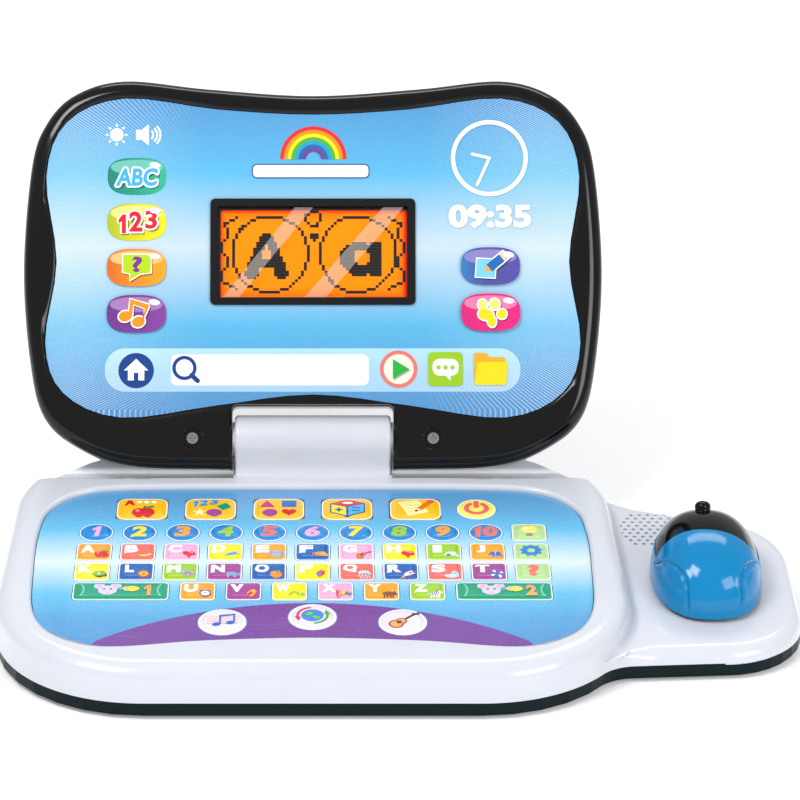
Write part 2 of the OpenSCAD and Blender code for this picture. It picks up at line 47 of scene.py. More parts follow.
MM = 0.001
TILT = math.radians(4)  # slope of the keyboard deck and of the mouse wing
LEAN = math.radians(29)  # the lid leans back by this much
HINGE = Vector((-35.5, 40.0, 43.0))
MIDDLE = HINGE.x
DECK = Vector((MIDDLE, -15.6, 27.0))
WING = Vector((121.5, -38.0, 16.14))  # middle of the mouse's opening
WING_LOW = Vector((0.0, -90.0, 12.5))
SPLIT_Z = 7.0  # where the casing's top meets its bottom
RIM_UP = 2.0  # the white rim stands over the film
TROUGH_R = 17.5  # hollow that the lid's lower edge swings in
TROUGH_FROM = 33.2
BARREL_R = 10.4
NOTCH_HALF = 33.6
NOTCH_TOP = 14.1
LID_FRONT = 9.5
LID_BACK = -11.0
FACE_D = 8.5  # the printed face lies this far in front of the hinge's axis
VIEW_S = 78.1  # the screen's middle, up the lid

LID_HALF = [(0, -13), (38, -12.5), (76, -11.2), (98, -3.5), (112, 9), (118, 32), (121, 71),
            (118, 114), (112, 132.5), (100, 145), (79, 151), (44, 147.6), (0, 144.8)]
FACE_HALF = [(0, 18.2), (40, 13.6), (80, 8.6), (104, 19), (111.5, 40), (107, 74),
             (111.5, 110), (103, 133), (79, 143), (40, 138.4), (0, 136.2)]
FILM_HALF = [(0, -82.6), (42, -84.6), (79, -88.8), (99, -80), (108.5, -62), (110.8, -28),
             (110.6, 0), (106.5, 19), (91, 32.6), (58, 35.6), (0, 35.5)]

PITCH = 17.5
FUNCTION_R = 9.4  # the three round keys at the front
ROW_2, ROW_3, ROW_4 = -15.5, -31.0, -46.1
FUNCTION_AT = ((-34.9, -69.2), (0, -65.4), (34.9, -69.2))

PAPER, INK, NAVY, CREAM = "#FFFFFF", "#1B1B1D", "#003B86", "#FBF3DC"
PINK, YELLOW, ORANGE, GREEN, SALMON = "#F3A9CE", "#FFE100", "#F5A100", "#9AC90F", "#EF6A5C"
BLUE, VIOLET, RED, BROWN = "#0E5FB0", "#A0408F", "#DA121F", "#8A4A1E"
LEAF, STEEL, TEAL = "#3FA535", "#8FA6C8", "#009A72"


# ---- frames of the object ----

def turned(points, origin, angle):
    """Points (across, up, out) of a frame tilted about X by angle, as object coordinates."""
    p = np.asarray(points, float).reshape(-1, 3)
    c, s = math.cos(angle), math.sin(angle)
    return np.column_stack([
        origin[0] + p[:, 0],
        origin[1] + p[:, 1] * c - p[:, 2] * s,
        origin[2] + p[:, 1] * s + p[:, 2] * c])


def on_deck(points):
    return turned(points, DECK, TILT)


def on_lid(points):
    return turned(points, HINGE, math.pi / 2 - LEAN)


def on_wing(points):
    return turned(points, WING, TILT)


def deck_z(y, up=0.0):
    """The height of the deck's film, or of a level over it, at a place along the object."""
    return DECK.z + (y - DECK.y) * math.tan(TILT) + up / math.cos(TILT)


def wing_z(y):
    """The height of the wing's flat top."""
    return WING_LOW.z + (y - WING_LOW.y) * math.tan(TILT)


# ---- materials ----

def rgb(code):
    """A linear colour from its usual six-digit name."""
    values = [int(code[i:i + 2], 16) / 255 for i in (1, 3, 5)]
    return tuple(v / 12.92 if v <= 0.04045 else ((v + 0.055) / 1.055) ** 2.4 for v in values) + (1,)


def shade(colour, factor):
    """A colour made lighter or darker."""
    return tuple(min(1, c * factor) for c in colour[:3]) + (1,)


class Graph:
    """A material's node tree, with short ways to add to it."""

    def __init__(self, name):
        self.material = bpy.data.materials.new(name)
        self.material.use_nodes = True
        self.tree = self.material.node_tree
        self.shader = self.tree.nodes["Principled BSDF"]
        self.place = self.tree.nodes.new("ShaderNodeTexCoord").outputs["Object"]

    def add(self, kind, inputs, output=0, **settings):
        node = self.tree.nodes.new(kind)
        for key, value in settings.items():
            setattr(node, key, value)
        for key, value in inputs.items():
            self.put(node, key, value)
        return node.outputs[output]

    def put(self, node, key, value):
        if isinstance(value, bpy.types.NodeSocket):
            self.tree.links.new(value, node.inputs[key])
        else:
            node.inputs[key].default_value = value

    def calc(self, operation, a, b=0.0, c=0.0):
        return self.add("ShaderNodeMath", {0: a, 1: b, 2: c}, operation=operation)

    def noise(self, scale, detail=3.0, place=None):
        return self.add("ShaderNodeTexNoise",
                        {"Vector": place or self.place, "Scale": scale, "Detail": detail})

    def span(self, value, low, high, to_low=0.0, to_high=1.0):
        return self.add("ShaderNodeMapRange", {"Value": value, "From Min": low, "From Max": high,
                                               "To Min": to_low, "To Max": to_high})

    def mix(self, factor, a, b):
        return self.add("ShaderNodeMix", {0: factor, 6: a, 7: b}, output=2, data_type="RGBA")

    def along(self, direction, origin):
        """Distance in mm along a direction from an origin given in object coordinates (mm)."""
        offset = -sum(d * o for d, o in zip(direction, origin)) * MM
        dot = self.add("ShaderNodeVectorMath", {0: self.place, 1: tuple(direction)}, output=1,
                       operation="DOT_PRODUCT")
        return self.calc("MULTIPLY", self.calc("ADD", dot, offset), 1000.0)

    def ramp(self, factor, stops):
        node = self.tree.nodes.new("ShaderNodeValToRGB")
        self.tree.links.new(factor, node.inputs[0])
        elements = node.color_ramp.elements
        while len(elements) < len(stops):
            elements.new(0.5)
        for element, (position, colour) in zip(elements, stops):
            element.position = position
            element.color = colour
        return node.outputs[0]

    def finish(self, colour, rough, coat=0.0, metal=0.0, mottle=0.04, grain=1500.0, bump=0.02,
               glow=0.0, specular=0.5):
        """Wires colour, mottling, fine grain, faint scratches and handling wear to the shader."""
        cloud = self.span(self.noise(42.0), 0.35, 0.65)
        if isinstance(colour, tuple):
            colour = self.mix(cloud, shade(colour, 1 - mottle), shade(colour, 1 + mottle))
        else:
            dark = self.mix(mottle, colour, (0.0, 0.0, 0.0, 1.0))
            colour = self.mix(cloud, dark, colour)
        fine = self.noise(grain, 5.0)
        lines = self.add("ShaderNodeMapping", {"Vector": self.place, "Rotation": (0.3, 0.2, 0.5),
                                               "Scale": (60.0, 1900.0, 1900.0)})
        scratch = self.span(self.noise(1.0, 2.0, lines), 0.62, 0.75, 0.0, rough * 0.5)
        worn = self.calc("ADD", self.span(fine, 0.3, 0.7, rough * 0.8, rough * 1.2), scratch)
        rise = self.add("ShaderNodeBump", {"Strength": bump, "Distance": 0.0003, "Height": fine},
                        output=0)
        sockets = {"Base Color": colour, "Roughness": worn, "Normal": rise, "Metallic": metal,
                   "Coat Weight": coat, "Coat Roughness": 0.06, "Specular IOR Level": specular}
        if glow:
            sockets.update({"Emission Color": colour, "Emission Strength": glow})
        for socket, value in sockets.items():
            self.put(self.shader, socket, value)
        return self.material


def paint(name, code, rough=0.3, **options):
    """A plain material of one colour with the common wear."""
    return Graph(name).finish(rgb(code), rough, **options)


INKS = {}


def ink(code):
    """A thin glossy printing ink of one colour, made once."""
    if code not in INKS:
        INKS[code] = paint("ink_" + code[1:].lower(), code, 0.24, coat=0.25, mottle=0.02,
                           bump=0.01)
    return INKS[code]


# ---- outlines ----

def spline(a, b, c, d, steps):
    """Points of a smooth curve from b up to c, with neighbours a and d."""
    return [0.5 * (2 * b + (c - a) * t + (2 * a - 5 * b + 4 * c - d) * t ** 2
                   + (3 * b - a - 3 * c + d) * t ** 3) for t in np.arange(steps) / steps]


def smooth(half, steps=8):
    """A closed smooth curve through the points of a right half, mirrored, from the bottom round."""
    points = [np.array(p, float) for p in half]
    points += [np.array((-p[0], p[1])) for p in points[-2:0:-1]]
    curve = []
    for i in range(len(points)):
        curve += spline(*(points[(i + k) % len(points)] for k in (-1, 0, 1, 2)), steps)
    return np.array(curve)


def inward(outline):
    """Unit normals of a counter-clockwise closed outline, pointing in."""
    along = np.roll(outline, -1, 0) - np.roll(outline, 1, 0)
    along /= np.maximum(np.linalg.norm(along, axis=1), 1e-9)[:, None]
    return np.column_stack([-along[:, 1], along[:, 0]])


def arc(centre, radius, start, stop, count=24):
    """Points along an arc, in degrees, both ends included."""
    a = np.radians(np.linspace(start, stop, count + 1))
    return np.column_stack([centre[0] + radius * np.cos(a), centre[1] + radius * np.sin(a)])


def resample(path, count):
    """count + 1 points evenly along an open path."""
    path = np.asarray(path, float)
    steps = np.linalg.norm(np.diff(path, axis=0), axis=1)
    path = path[np.concatenate([[True], steps > 1e-7])]
    far = np.concatenate([[0], np.cumsum(np.linalg.norm(np.diff(path, axis=0), axis=1))])
    at = np.linspace(0, far[-1], count + 1)
    return np.column_stack([np.interp(at, far, path[:, 0]), np.interp(at, far, path[:, 1])])


def ray_hits(outline, centre, directions):
    """Where rays from a centre leave a closed outline that they cross once."""
    a = outline - centre
    angle = np.unwrap(np.arctan2(a[:, 1], a[:, 0]))
    radius = np.linalg.norm(a, axis=1)
    wanted = np.arctan2(directions[:, 1], directions[:, 0])
    wanted = angle[0] + np.mod(wanted - angle[0], 2 * math.pi)
    angle = np.append(angle, angle[0] + 2 * math.pi)
    radius = np.append(radius, radius[0])
    r = np.interp(wanted, angle, radius)
    return centre + np.column_stack([r * np.cos(wanted), r * np.sin(wanted)])


def level(outline, height):
    """An outline lifted to a height, which is a number or one for each point."""
    return np.column_stack([outline, np.broadcast_to(height, len(outline))])


def rounded(w, h, r, count=6, centre=(0, 0)):
    """A counter-clockwise rectangle with round corners."""
    r = max(min(r, w / 2, h / 2), 0.01)
    corners = [(w / 2 - r, h / 2 - r, 0), (r - w / 2, h / 2 - r, 90),
               (r - w / 2, r - h / 2, 180), (w / 2 - r, r - h / 2, 270)]
    parts = [arc((x + centre[0], y + centre[1]), r, a, a + 90, count) for x, y, a in corners]
    return np.vstack(parts)


# ---- mesh pieces ----

def loft(rings, closed=True, ends=(False, False), around=False):
    """Quads between rings of points; ends closes the first and last ring, around joins them."""
    n = len(rings[0])
    points = np.vstack(rings)
    faces = []
    last = len(rings)
    for k in range(last if around else last - 1):
        a, b = k * n, (k + 1) % last * n
        for i in range(n if closed else n - 1):
            j = (i + 1) % n
            faces.append((a + i, a + j, b + j, b + i))
    if ends[0]:
        faces.append(tuple(range(n - 1, -1, -1)))
    if ends[1]:
        faces.append(tuple((last - 1) * n + i for i in range(n)))
    return points, faces


def joined(parts):
    """Several (points, faces) as one."""
    points, faces = [], []
    for more, more_faces in parts:
        start = sum(len(p) for p in points)
        points.append(more)
        faces += [tuple(start + i for i in f) for f in more_faces]
    return np.vstack(points), faces


def shape_mesh(name, points, faces, materials, indices=None, sharp=40, weld=True):
    """A smooth-shaded mesh object, with edges sharper than an angle kept sharp."""
    mesh = bpy.data.meshes.new(name)
    mesh.from_pydata([tuple(p * MM) for p in np.asarray(points, float)], [], faces)
    for material in materials:
        mesh.materials.append(material)
    if indices is not None:
        mesh.polygons.foreach_set("material_index", list(indices))
    if weld:
        work = bmesh.new()
        work.from_mesh(mesh)
        bmesh.ops.remove_doubles(work, verts=work.verts, dist=2e-6)
        bmesh.ops.dissolve_degenerate(work, edges=work.edges, dist=1e-6)
        bmesh.ops.recalc_face_normals(work, faces=work.faces)
        work.to_mesh(mesh)
        work.free()
    mesh.polygons.foreach_set("use_smooth", [True] * len(mesh.polygons))
    if sharp:
        mesh.set_sharp_from_angle(angle=math.radians(sharp))
    item = bpy.data.objects.new(name, mesh)
    bpy.context.scene.collection.objects.link(item)
    return item


def piece(name, points, faces, materials, body, replaces=(), indices=None, sharp=40,
          weld=True):
    """A mesh piece of the object: its points are object coordinates in mm."""
    materials = materials if isinstance(materials, list) else [materials]
    item = shape_mesh(name, points, faces, materials, indices, sharp, weld)
    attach(item, body)
    if replaces:
        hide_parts(*replaces)
    return item


def carve(item, cutters, sharp=35):
    """Cuts closed cutter meshes, given as (points, faces), out of a closed piece."""
    for points, faces in cutters:
        tool = shape_mesh("tool", points, faces, [], sharp=0)
        modifier = item.modifiers.new("cut", "BOOLEAN")
        modifier.operation = "DIFFERENCE"
        modifier.solver = "EXACT"
        modifier.object = tool
        bpy.context.view_layer.update()
        graph = bpy.context.evaluated_depsgraph_get()
        mesh = bpy.data.meshes.new_from_object(item.evaluated_get(graph))
        item.modifiers.remove(modifier)
        old = item.data
        item.data = mesh
        mesh.name = item.name
        bpy.data.meshes.remove(old)
        bpy.data.objects.remove(tool)
    item.data.polygons.foreach_set("use_smooth", [True] * len(item.data.polygons))
    item.data.set_sharp_from_angle(angle=math.radians(sharp))


def lid_hole(x, y, sections, count):
    """A cutter for a round hole in the lid, through (radius, height) sections."""
    points, faces = loft([level(arc((x, y), r, 0, 360, count)[:-1], d) for r, d in sections],
                         ends=(True, True))
    return on_lid(points), faces


# ---- printed shapes ----

def oval(x, y, rx, ry=None, turn=0.0, start=0, stop=360, count=28):
    """An ellipse, or the arc of one between two angles, turned by some degrees."""
    a = np.radians(np.linspace(start, stop, count + 1))
    a = a[:-1] if stop - start == 360 else a
    ry = rx if ry is None else ry
    px, py = rx * np.cos(a), ry * np.sin(a)
    c, s = math.cos(math.radians(turn)), math.sin(math.radians(turn))
    return np.column_stack([x + px * c - py * s, y + px * s + py * c])


def band(x, y, outer, inner, start=0, stop=360, count=28):
    """Part of a ring, as one closed outline."""
    a = oval(x, y, outer, start=start, stop=stop - 0.01, count=count)
    b = oval(x, y, inner, start=start, stop=stop - 0.01, count=count)
    return np.vstack([a, b[::-1]])


def line(points, width):
    """A thick line with round ends through points, as one closed outline."""
    p = np.asarray(points, float)
    along = np.gradient(p, axis=0) if len(p) > 2 else np.tile(p[1] - p[0], (2, 1))
    along /= np.linalg.norm(along, axis=1)[:, None]
    side = np.column_stack([-along[:, 1], along[:, 0]]) * width / 2
    last = math.degrees(math.atan2(along[-1][1], along[-1][0]))
    first = math.degrees(math.atan2(along[0][1], along[0][0]))
    return np.vstack([p - side, oval(*p[-1], width / 2, start=last - 80, stop=last + 80, count=6),
                      (p + side)[::-1],
                      oval(*p[0], width / 2, start=first + 100, stop=first + 260, count=6)])


def bend(a, b, c, count=10):
    """A curve from a to c that leans towards b."""
    a, b, c = (np.array(p, float) for p in (a, b, c))
    t = np.linspace(0, 1, count + 1)[:, None]
    return (1 - t) ** 2 * a + 2 * t * (1 - t) * b + t ** 2 * c


def star(x, y, outer, inner, tips=5, turn=90):
    """A closed outline with pointed tips."""
    a = np.radians(turn + np.arange(tips * 2) * 180 / tips)
    r = np.where(np.arange(tips * 2) % 2, inner, outer)
    return np.column_stack([x + r * np.cos(a), y + r * np.sin(a)])


def grow(outline, by):
    """A closed outline made fatter all round."""
    outline = np.asarray(outline, float)
    x, y = outline[:, 0], outline[:, 1]
    turn = np.sum(x * np.roll(y, -1) - np.roll(x, -1) * y)
    return outline - inward(outline) * by * (1 if turn > 0 else -1)


def heart(x, y, size):
    t = np.linspace(0, 2 * math.pi, 33)[:-1]
    return np.column_stack([x + size * np.sin(t) ** 3, y + size / 16 * (
        13 * np.cos(t) - 5 * np.cos(2 * t) - 2 * np.cos(3 * t) - np.cos(4 * t))])


def box_of(x, y, w, h):
    return np.array([(x - w / 2, y - h / 2), (x + w / 2, y - h / 2),
                     (x + w / 2, y + h / 2), (x - w / 2, y + h / 2)])


def inside(points, outline):
    """Which points lie inside a closed outline."""
    found = np.zeros(len(points), bool)
    for a, b in zip(outline, np.roll(outline, -1, 0)):
        crosses = (a[1] > points[:, 1]) != (b[1] > points[:, 1])
        rise = b[1] - a[1] if a[1] != b[1] else 1e-12
        found ^= crosses & (points[:, 0] < a[0] + (points[:, 1] - a[1]) * (b[0] - a[0]) / rise)
    return found


def loop_edges(loops):
    """Edges, by point number, round each of several outlines in turn."""
    edges, start = [], 0
    for loop in loops:
        count = len(loop)
        edges += [(start + i, start + (i + 1) % count) for i in range(count)]
        start += count
    return edges


def pierced(loops):
    """Points and triangles that fill the first outline apart from the others."""
    flat = [Vector((float(p[0]), float(p[1]))) for loop in loops for p in loop]
    points, _, triangles = delaunay_2d_cdt(flat, loop_edges(loops), [], 1, 1e-6)[:3]
    middles = np.array([sum((points[i] for i in t), Vector((0, 0))) / 3 for t in triangles])
    out = np.any([inside(middles, np.asarray(hole, float)) for hole in loops[1:]], axis=0)
    return points, [t for t, gone in zip(triangles, out) if not gone]


class Sheet:
    """Flat printed shapes, each with its colour, in layers that lie just over each other."""

    STEP = 0.03

    def __init__(self):
        self.points, self.faces, self.inks = [], [], []
        self.top = 1

    def put(self, colour, *outlines, holes=()):
        """Adds outlines in one colour as the next layer up."""
        for number, outline in enumerate(outlines):
            start = len(self.points)
            height = (self.top + 0.12 * (number % 5)) * self.STEP
            if len(holes):
                points, triangles = pierced([outline, *holes])
            else:
                points = outline
                triangles = tessellate_polygon([[Vector((*p, 0)) for p in outline]])
            self.points += [(p[0], p[1], height) for p in points]
            for a, b, c in triangles:
                self.face((start + a, start + b, start + c), colour)
        self.top += 1
        return self

    def face(self, corners, colour):
        """Adds a triangle, facing up, unless it has no area."""
        a, b, c = (np.array(self.points[i][:2]) for i in corners)
        turn = (b - a)[0] * (c - a)[1] - (b - a)[1] * (c - a)[0]
        if abs(turn) < 1e-9:
            return
        self.faces.append(corners if turn > 0 else corners[::-1])
        self.inks.append(colour)

    def write(self, text, colour, x, y, w, h, lean=0.0, edge=None, weight=0.035):
        """Plain letters or digits that fill a box centred at x, y; edge adds a white edge of a
        width over a dark shadow."""
        if edge:
            self.write(text, edge[1], x + 0.7 * edge[0] + 0.35, y - edge[0] - 0.35, w, h, lean,
                       weight=weight + 0.02)
            for a in np.radians(np.arange(10) * 36):
                self.write(text, PAPER, x + edge[0] * math.cos(a), y + edge[0] * math.sin(a),
                           w, h, lean, weight=weight)
                self.top -= 0.75
            self.top += 0.75
        curve = bpy.data.curves.new("text", "FONT")
        curve.body = text
        curve.offset = weight
        curve.resolution_u = 4
        item = bpy.data.objects.new("text", curve)
        bpy.context.scene.collection.objects.link(item)
        bpy.context.view_layer.update()
        graph = bpy.context.evaluated_depsgraph_get()
        mesh = bpy.data.meshes.new_from_object(item.evaluated_get(graph))
        p = np.array([v.co[:2] for v in mesh.vertices])
        low, high = p.min(0), p.max(0)
        p = (p - (low + high) / 2) / (high - low) * (w, h)
        p[:, 0] += p[:, 1] * lean
        start = len(self.points)
        self.points += [(x + q[0], y + q[1], self.top * self.STEP) for q in p]
        for polygon in mesh.polygons:
            loop = list(polygon.vertices)
            for k in range(1, len(loop) - 1):
                self.face((start + loop[0], start + loop[k], start + loop[k + 1]), colour)
        bpy.data.objects.remove(item)
        bpy.data.curves.remove(curve)
        bpy.data.meshes.remove(mesh)
        self.top += 1
        return self

    def one(self, colour, x, y, w, h, lean=0.0, edge=None):
        """A plain digit one that fills a box centred at x, y, edged as in write."""
        shape = np.array([(-0.5, 0.2), (-0.02, 0.5), (0.42, 0.5), (0.42, -0.5), (-0.08, -0.5),
                          (-0.08, 0.16), (-0.34, 0.02)]) * (w, h)
        shape[:, 0] += shape[:, 1] * lean
        shape = shape[::-1] + (x, y)
        if edge:
            fat = grow(shape, edge[0])
            self.put(edge[1], fat + (0.5, -0.5)).put(PAPER, fat)
        return self.put(colour, shape)

    def moved(self, x, y, size=1.0):
        """These shapes moved and scaled, for adding to another sheet."""
        other = Sheet()
        other.points = [(p[0] * size + x, p[1] * size + y, p[2]) for p in self.points]
        other.faces, other.inks, other.top = list(self.faces), list(self.inks), self.top
        return other

    def take(self, other):
        """Adds another sheet's shapes over these."""
        start = len(self.points)
        rise = (self.top - 1) * self.STEP
        self.points += [(p[0], p[1], p[2] + rise) for p in other.points]
        self.faces += [tuple(start + i for i in f) for f in other.faces]
        self.inks += other.inks
        self.top += other.top - 1
        return self

    def draped(self, height, longest=0.7):
        """Cuts long edges and lays every point on a surface: height(x, y) in mm."""
        mesh = bmesh.new()
        points = [mesh.verts.new(p) for p in self.points]
        names = sorted(set(self.inks))
        for corners, colour in zip(self.faces, self.inks):
            try:
                mesh.faces.new([points[i] for i in corners]).material_index = names.index(colour)
            except ValueError:
                continue
        for _ in range(5):
            long_edges = [e for e in mesh.edges if e.calc_length() > longest]
            if not long_edges:
                break
            bmesh.ops.subdivide_edges(mesh, edges=long_edges, cuts=1)
            bmesh.ops.triangulate(mesh, faces=mesh.faces)
        mesh.verts.index_update()
        out = np.array([v.co[:] for v in mesh.verts])
        out[:, 2] += height(out[:, 0], out[:, 1])
        faces = [tuple(v.index for v in f.verts) for f in mesh.faces]
        inks = [names[f.material_index] for f in mesh.faces]
        mesh.free()
        return out, faces, inks


def inked(name, points, faces, inks, body, replaces=(), sharp=0):
    """A piece with an ink for each face."""
    names = sorted(set(inks))
    piece(name, points, faces, [ink(c) for c in names], body, replaces,
          indices=[names.index(c) for c in inks], sharp=sharp, weld=False)


def printed(name, sheet, place, body, height=0.0):
    """A piece made of a flat sheet's shapes alone."""
    inked(name, place(np.array(sheet.points) + (0, 0, height)), sheet.faces, sheet.inks, body)


# ---- base: white top casing ----

WHITE = paint("white_gloss", "#D1D4DC", 0.2, coat=0.35, mottle=0.012, grain=900, bump=0.012)
BLACK = paint("black_gloss", "#060607", 0.13, coat=0.25, mottle=0.05, bump=0.015, specular=0.2)
SPEAKER, HOLE_R = (103, 4), 0.85
WING_EDGE_R, WING_STEP_R = 6.0, 4.5
CREST_IN, CREST_FALL = 7.5, 6.2  # the rim's rounded edge: how far in, and how high
LIP_R = 1.6
MOUSE_HOLE = 17.0
BACK_C, FRONT_C = (MIDDLE + 76, 7.0), (MIDDLE + 64.5, -62.0)


def base_paths():
    """The main body's outline and the whole base's, point for point, from the front middle;
    then which points pass the wing, and how many lie on the right half."""
    front = resample([(MIDDLE, -122), (FRONT_C[0], -122)], 14)[:-1]
    front_corner = arc(FRONT_C, 60, -90, -38.2, 22)[:-1]
    main_side = np.vstack([arc(FRONT_C, 60, -38.2, 0), arc(BACK_C, 46, 0, 37.3)])
    whole_side = np.vstack([
        arc((90.3, -110.2), 18, 141.8, 93.7), arc((124.5, -57), 33, -90, 0),
        arc((123.5, -18), 34, 0, 90), arc((91.4, 45.8), 18, 251.4, 217.3)])
    back_corner = arc(BACK_C, 46, 37.3, 90, 22)[1:]
    u = [74, 68, 62, 56, 50, 45, 40, 37, 35, 33.5, 32.9, 31, 28, 22, 16, 10, 5, 0]
    back = np.array([(MIDDLE + a, 53.0) for a in u])
    count = 190
    main = np.vstack([front, front_corner, resample(main_side, count), back_corner, back])
    whole = np.vstack([front, front_corner, resample(whole_side, count), back_corner, back])
    left = main[-2:0:-1] * (-1, 1) + (2 * MIDDLE, 0)
    start = len(front) + len(front_corner)
    wing = slice(start, start + count + 1)
    return np.vstack([main, left]), np.vstack([whole, left]), wing, len(main)


def film_edge(main, half_count):
    """The film's edge, a point for each point of the main outline."""
    curve = smooth(FILM_HALF, 20)
    right = curve[:len(curve) // 2 + 1]
    u = main[:half_count, 0] - MIDDLE
    widest = int(np.argmax(right[:, 0]))
    low, high = right[:widest], right[widest:][::-1]
    first = int(np.argmax(u > 64))
    last = half_count - 1 - int(np.argmax(u[::-1] > 60))
    out = np.zeros((half_count, 2))
    out[:first + 1] = [(a, np.interp(a, low[:, 0], low[:, 1])) for a in u[:first + 1]]
    out[last:] = [(a, np.interp(a, high[:, 0], high[:, 1])) for a in u[last:]]
    x, y = right[:, 0], right[:, 1]
    between = np.where(y < 0, (x > out[first][0]) | (y > -60), x > out[last][0])
    path = np.vstack([out[first], right[between], out[last]])
    out[first:last + 1] = resample(path, last - first)
    full = np.vstack([out, out[-2:0:-1] * (-1, 1)])
    return on_deck(level(full, 0))[:, :2]


def trough(points):
    """Lowers points behind the lid's hinge to the hollow that its lower edge swings in."""
    p = points.copy()
    y = p[:, 1] - HINGE.y
    inside = (np.abs(y) < TROUGH_R) & (np.abs(p[:, 0] - MIDDLE) >= TROUGH_FROM)
    floor = HINGE.z - np.sqrt(np.maximum(TROUGH_R ** 2 - y ** 2, 0))
    p[inside, 2] = np.minimum(p[inside, 2], floor[inside])
    return p


def base_top():
    """The white casing: wing, step, body and rim as rings, then the wing's flat top with holes."""
    main, whole, wing, half_count = base_paths()
    main_in, whole_in = inward(main), inward(whole)
    film = film_edge(main, half_count)
    film_out = -inward(film)
    gap = np.linalg.norm(whole - main, axis=1)
    rim_r = np.minimum(WING_EDGE_R, gap * 0.42)
    foot_r = np.minimum(WING_STEP_R, gap * 0.42)
    rings = [level(whole, SPLIT_Z)]
    quarter = np.radians(np.linspace(0, 90, 8))
    top = wing_z(whole[:, 1])
    for a in quarter:
        edge = whole + whole_in * (rim_r * (1 - math.cos(a)))[:, None]
        rings.append(level(edge, np.where(gap > 0.5, wing_z(edge[:, 1]), top)
                           - np.maximum(rim_r, 0.6) * (1 - math.sin(a))))
    outer_count = len(rings)
    for a in quarter:
        edge = main - main_in * (foot_r * (1 - math.sin(a)))[:, None]
        rings.append(level(edge, wing_z(edge[:, 1])
                           + np.maximum(foot_r, 0.7) * (1 - math.cos(a)) + (gap < 0.5) * 0.05))
    for a in np.radians(np.linspace(0, 90, 11)):
        edge = main + main_in * CREST_IN * (1 - math.cos(a))
        rings.append(level(edge, deck_z(edge[:, 1], RIM_UP) - CREST_FALL * (1 - math.sin(a))))
    crest = main + main_in * CREST_IN
    lip = film + film_out * (LIP_R + 0.1)
    for t in np.linspace(0, 1, 22)[1:]:
        edge = crest + (lip - crest) * t
        rings.append(level(edge, deck_z(edge[:, 1], RIM_UP)))
    for a in np.radians(np.linspace(12, 90, 7)):
        edge = film + film_out * (0.1 + LIP_R * (1 - math.sin(a)))
        rings.append(level(edge, deck_z(edge[:, 1], RIM_UP - LIP_R * (1 - math.cos(a)))))
    rings.append(level(film + film_out * 0.1, deck_z(film[:, 1], -0.3)))
    rings = [rings[0]] + [trough(r) for r in rings[1:]]
    points, faces = loft(rings)
    count = len(main)
    open_strip = set(range(wing.start + 2, wing.stop - 3))
    row = outer_count - 1
    faces = [f for f in faces if not (f[0] // count == row and f[0] % count in open_strip)]
    edge = list(range(wing.start + 2, wing.stop - 2))
    loop = np.vstack([rings[row][edge], rings[row + 1][edge[::-1]]])
    holes = speaker_holes() + [rounded(MOUSE_HOLE, MOUSE_HOLE, 2, centre=(WING.x, WING.y))[::-1]]
    more, more_faces = flat_with_holes(loop, holes)
    parts = [(points, faces), (more, more_faces)]
    for hole in holes:
        upper = level(hole, wing_z(hole[:, 1]))
        parts.append(loft([upper, upper - (0, 0, 1.6)]))
    points, faces = joined(parts)
    piece("casing_top", points, faces, WHITE, "base", ["base_top"], sharp=38)


def speaker_holes():
    """Staggered rows of round holes within a circle over the speaker."""
    holes = []
    for row in range(-4, 5):
        for column in range(-5, 6):
            x = SPEAKER[0] + 3.4 * (column + 0.5 * (row % 2))
            y = SPEAKER[1] + 2.95 * row
            if math.hypot(x - SPEAKER[0], y - SPEAKER[1]) < 14:
                holes.append(oval(x, y, HOLE_R, count=12)[::-1])
    return holes


def flat_with_holes(loop, holes):
    """Triangles that fill a loop on the wing's top, leaving the holes open."""
    loops = [loop[:, :2]] + [np.asarray(h) for h in holes]
    points = [Vector(p) for part in loops for p in part]
    out, _, faces = delaunay_2d_cdt(points, loop_edges(loops), [], 0, 1e-7)[:3]
    p = np.array([tuple(v) for v in out])
    middles = np.array([np.mean([out[i] for i in face], 0) for face in faces])
    centres = [(np.mean(h, 0), np.ptp(h[:, 0]) / 2) for h in loops[1:]]
    kept = []
    for face, (x, y), on_top in zip(faces, middles, inside(middles, loops[0])):
        in_hole = any(abs(x - c[0]) < r and abs(y - c[1]) < r
                      and all(np.hypot(*(p[i] - c)) < r * 1.45 for i in face)
                      for c, r in centres)
        if on_top and not in_hole:
            kept.append(tuple(face))
    return level(p, wing_z(p[:, 1])), kept


KNUCKLE_HALF, KNUCKLE_EDGE = 32.5, 1.5
BORE_R, BORE_DEPTH = 4.5, 13.5  # for the hinge's pins, at both ends


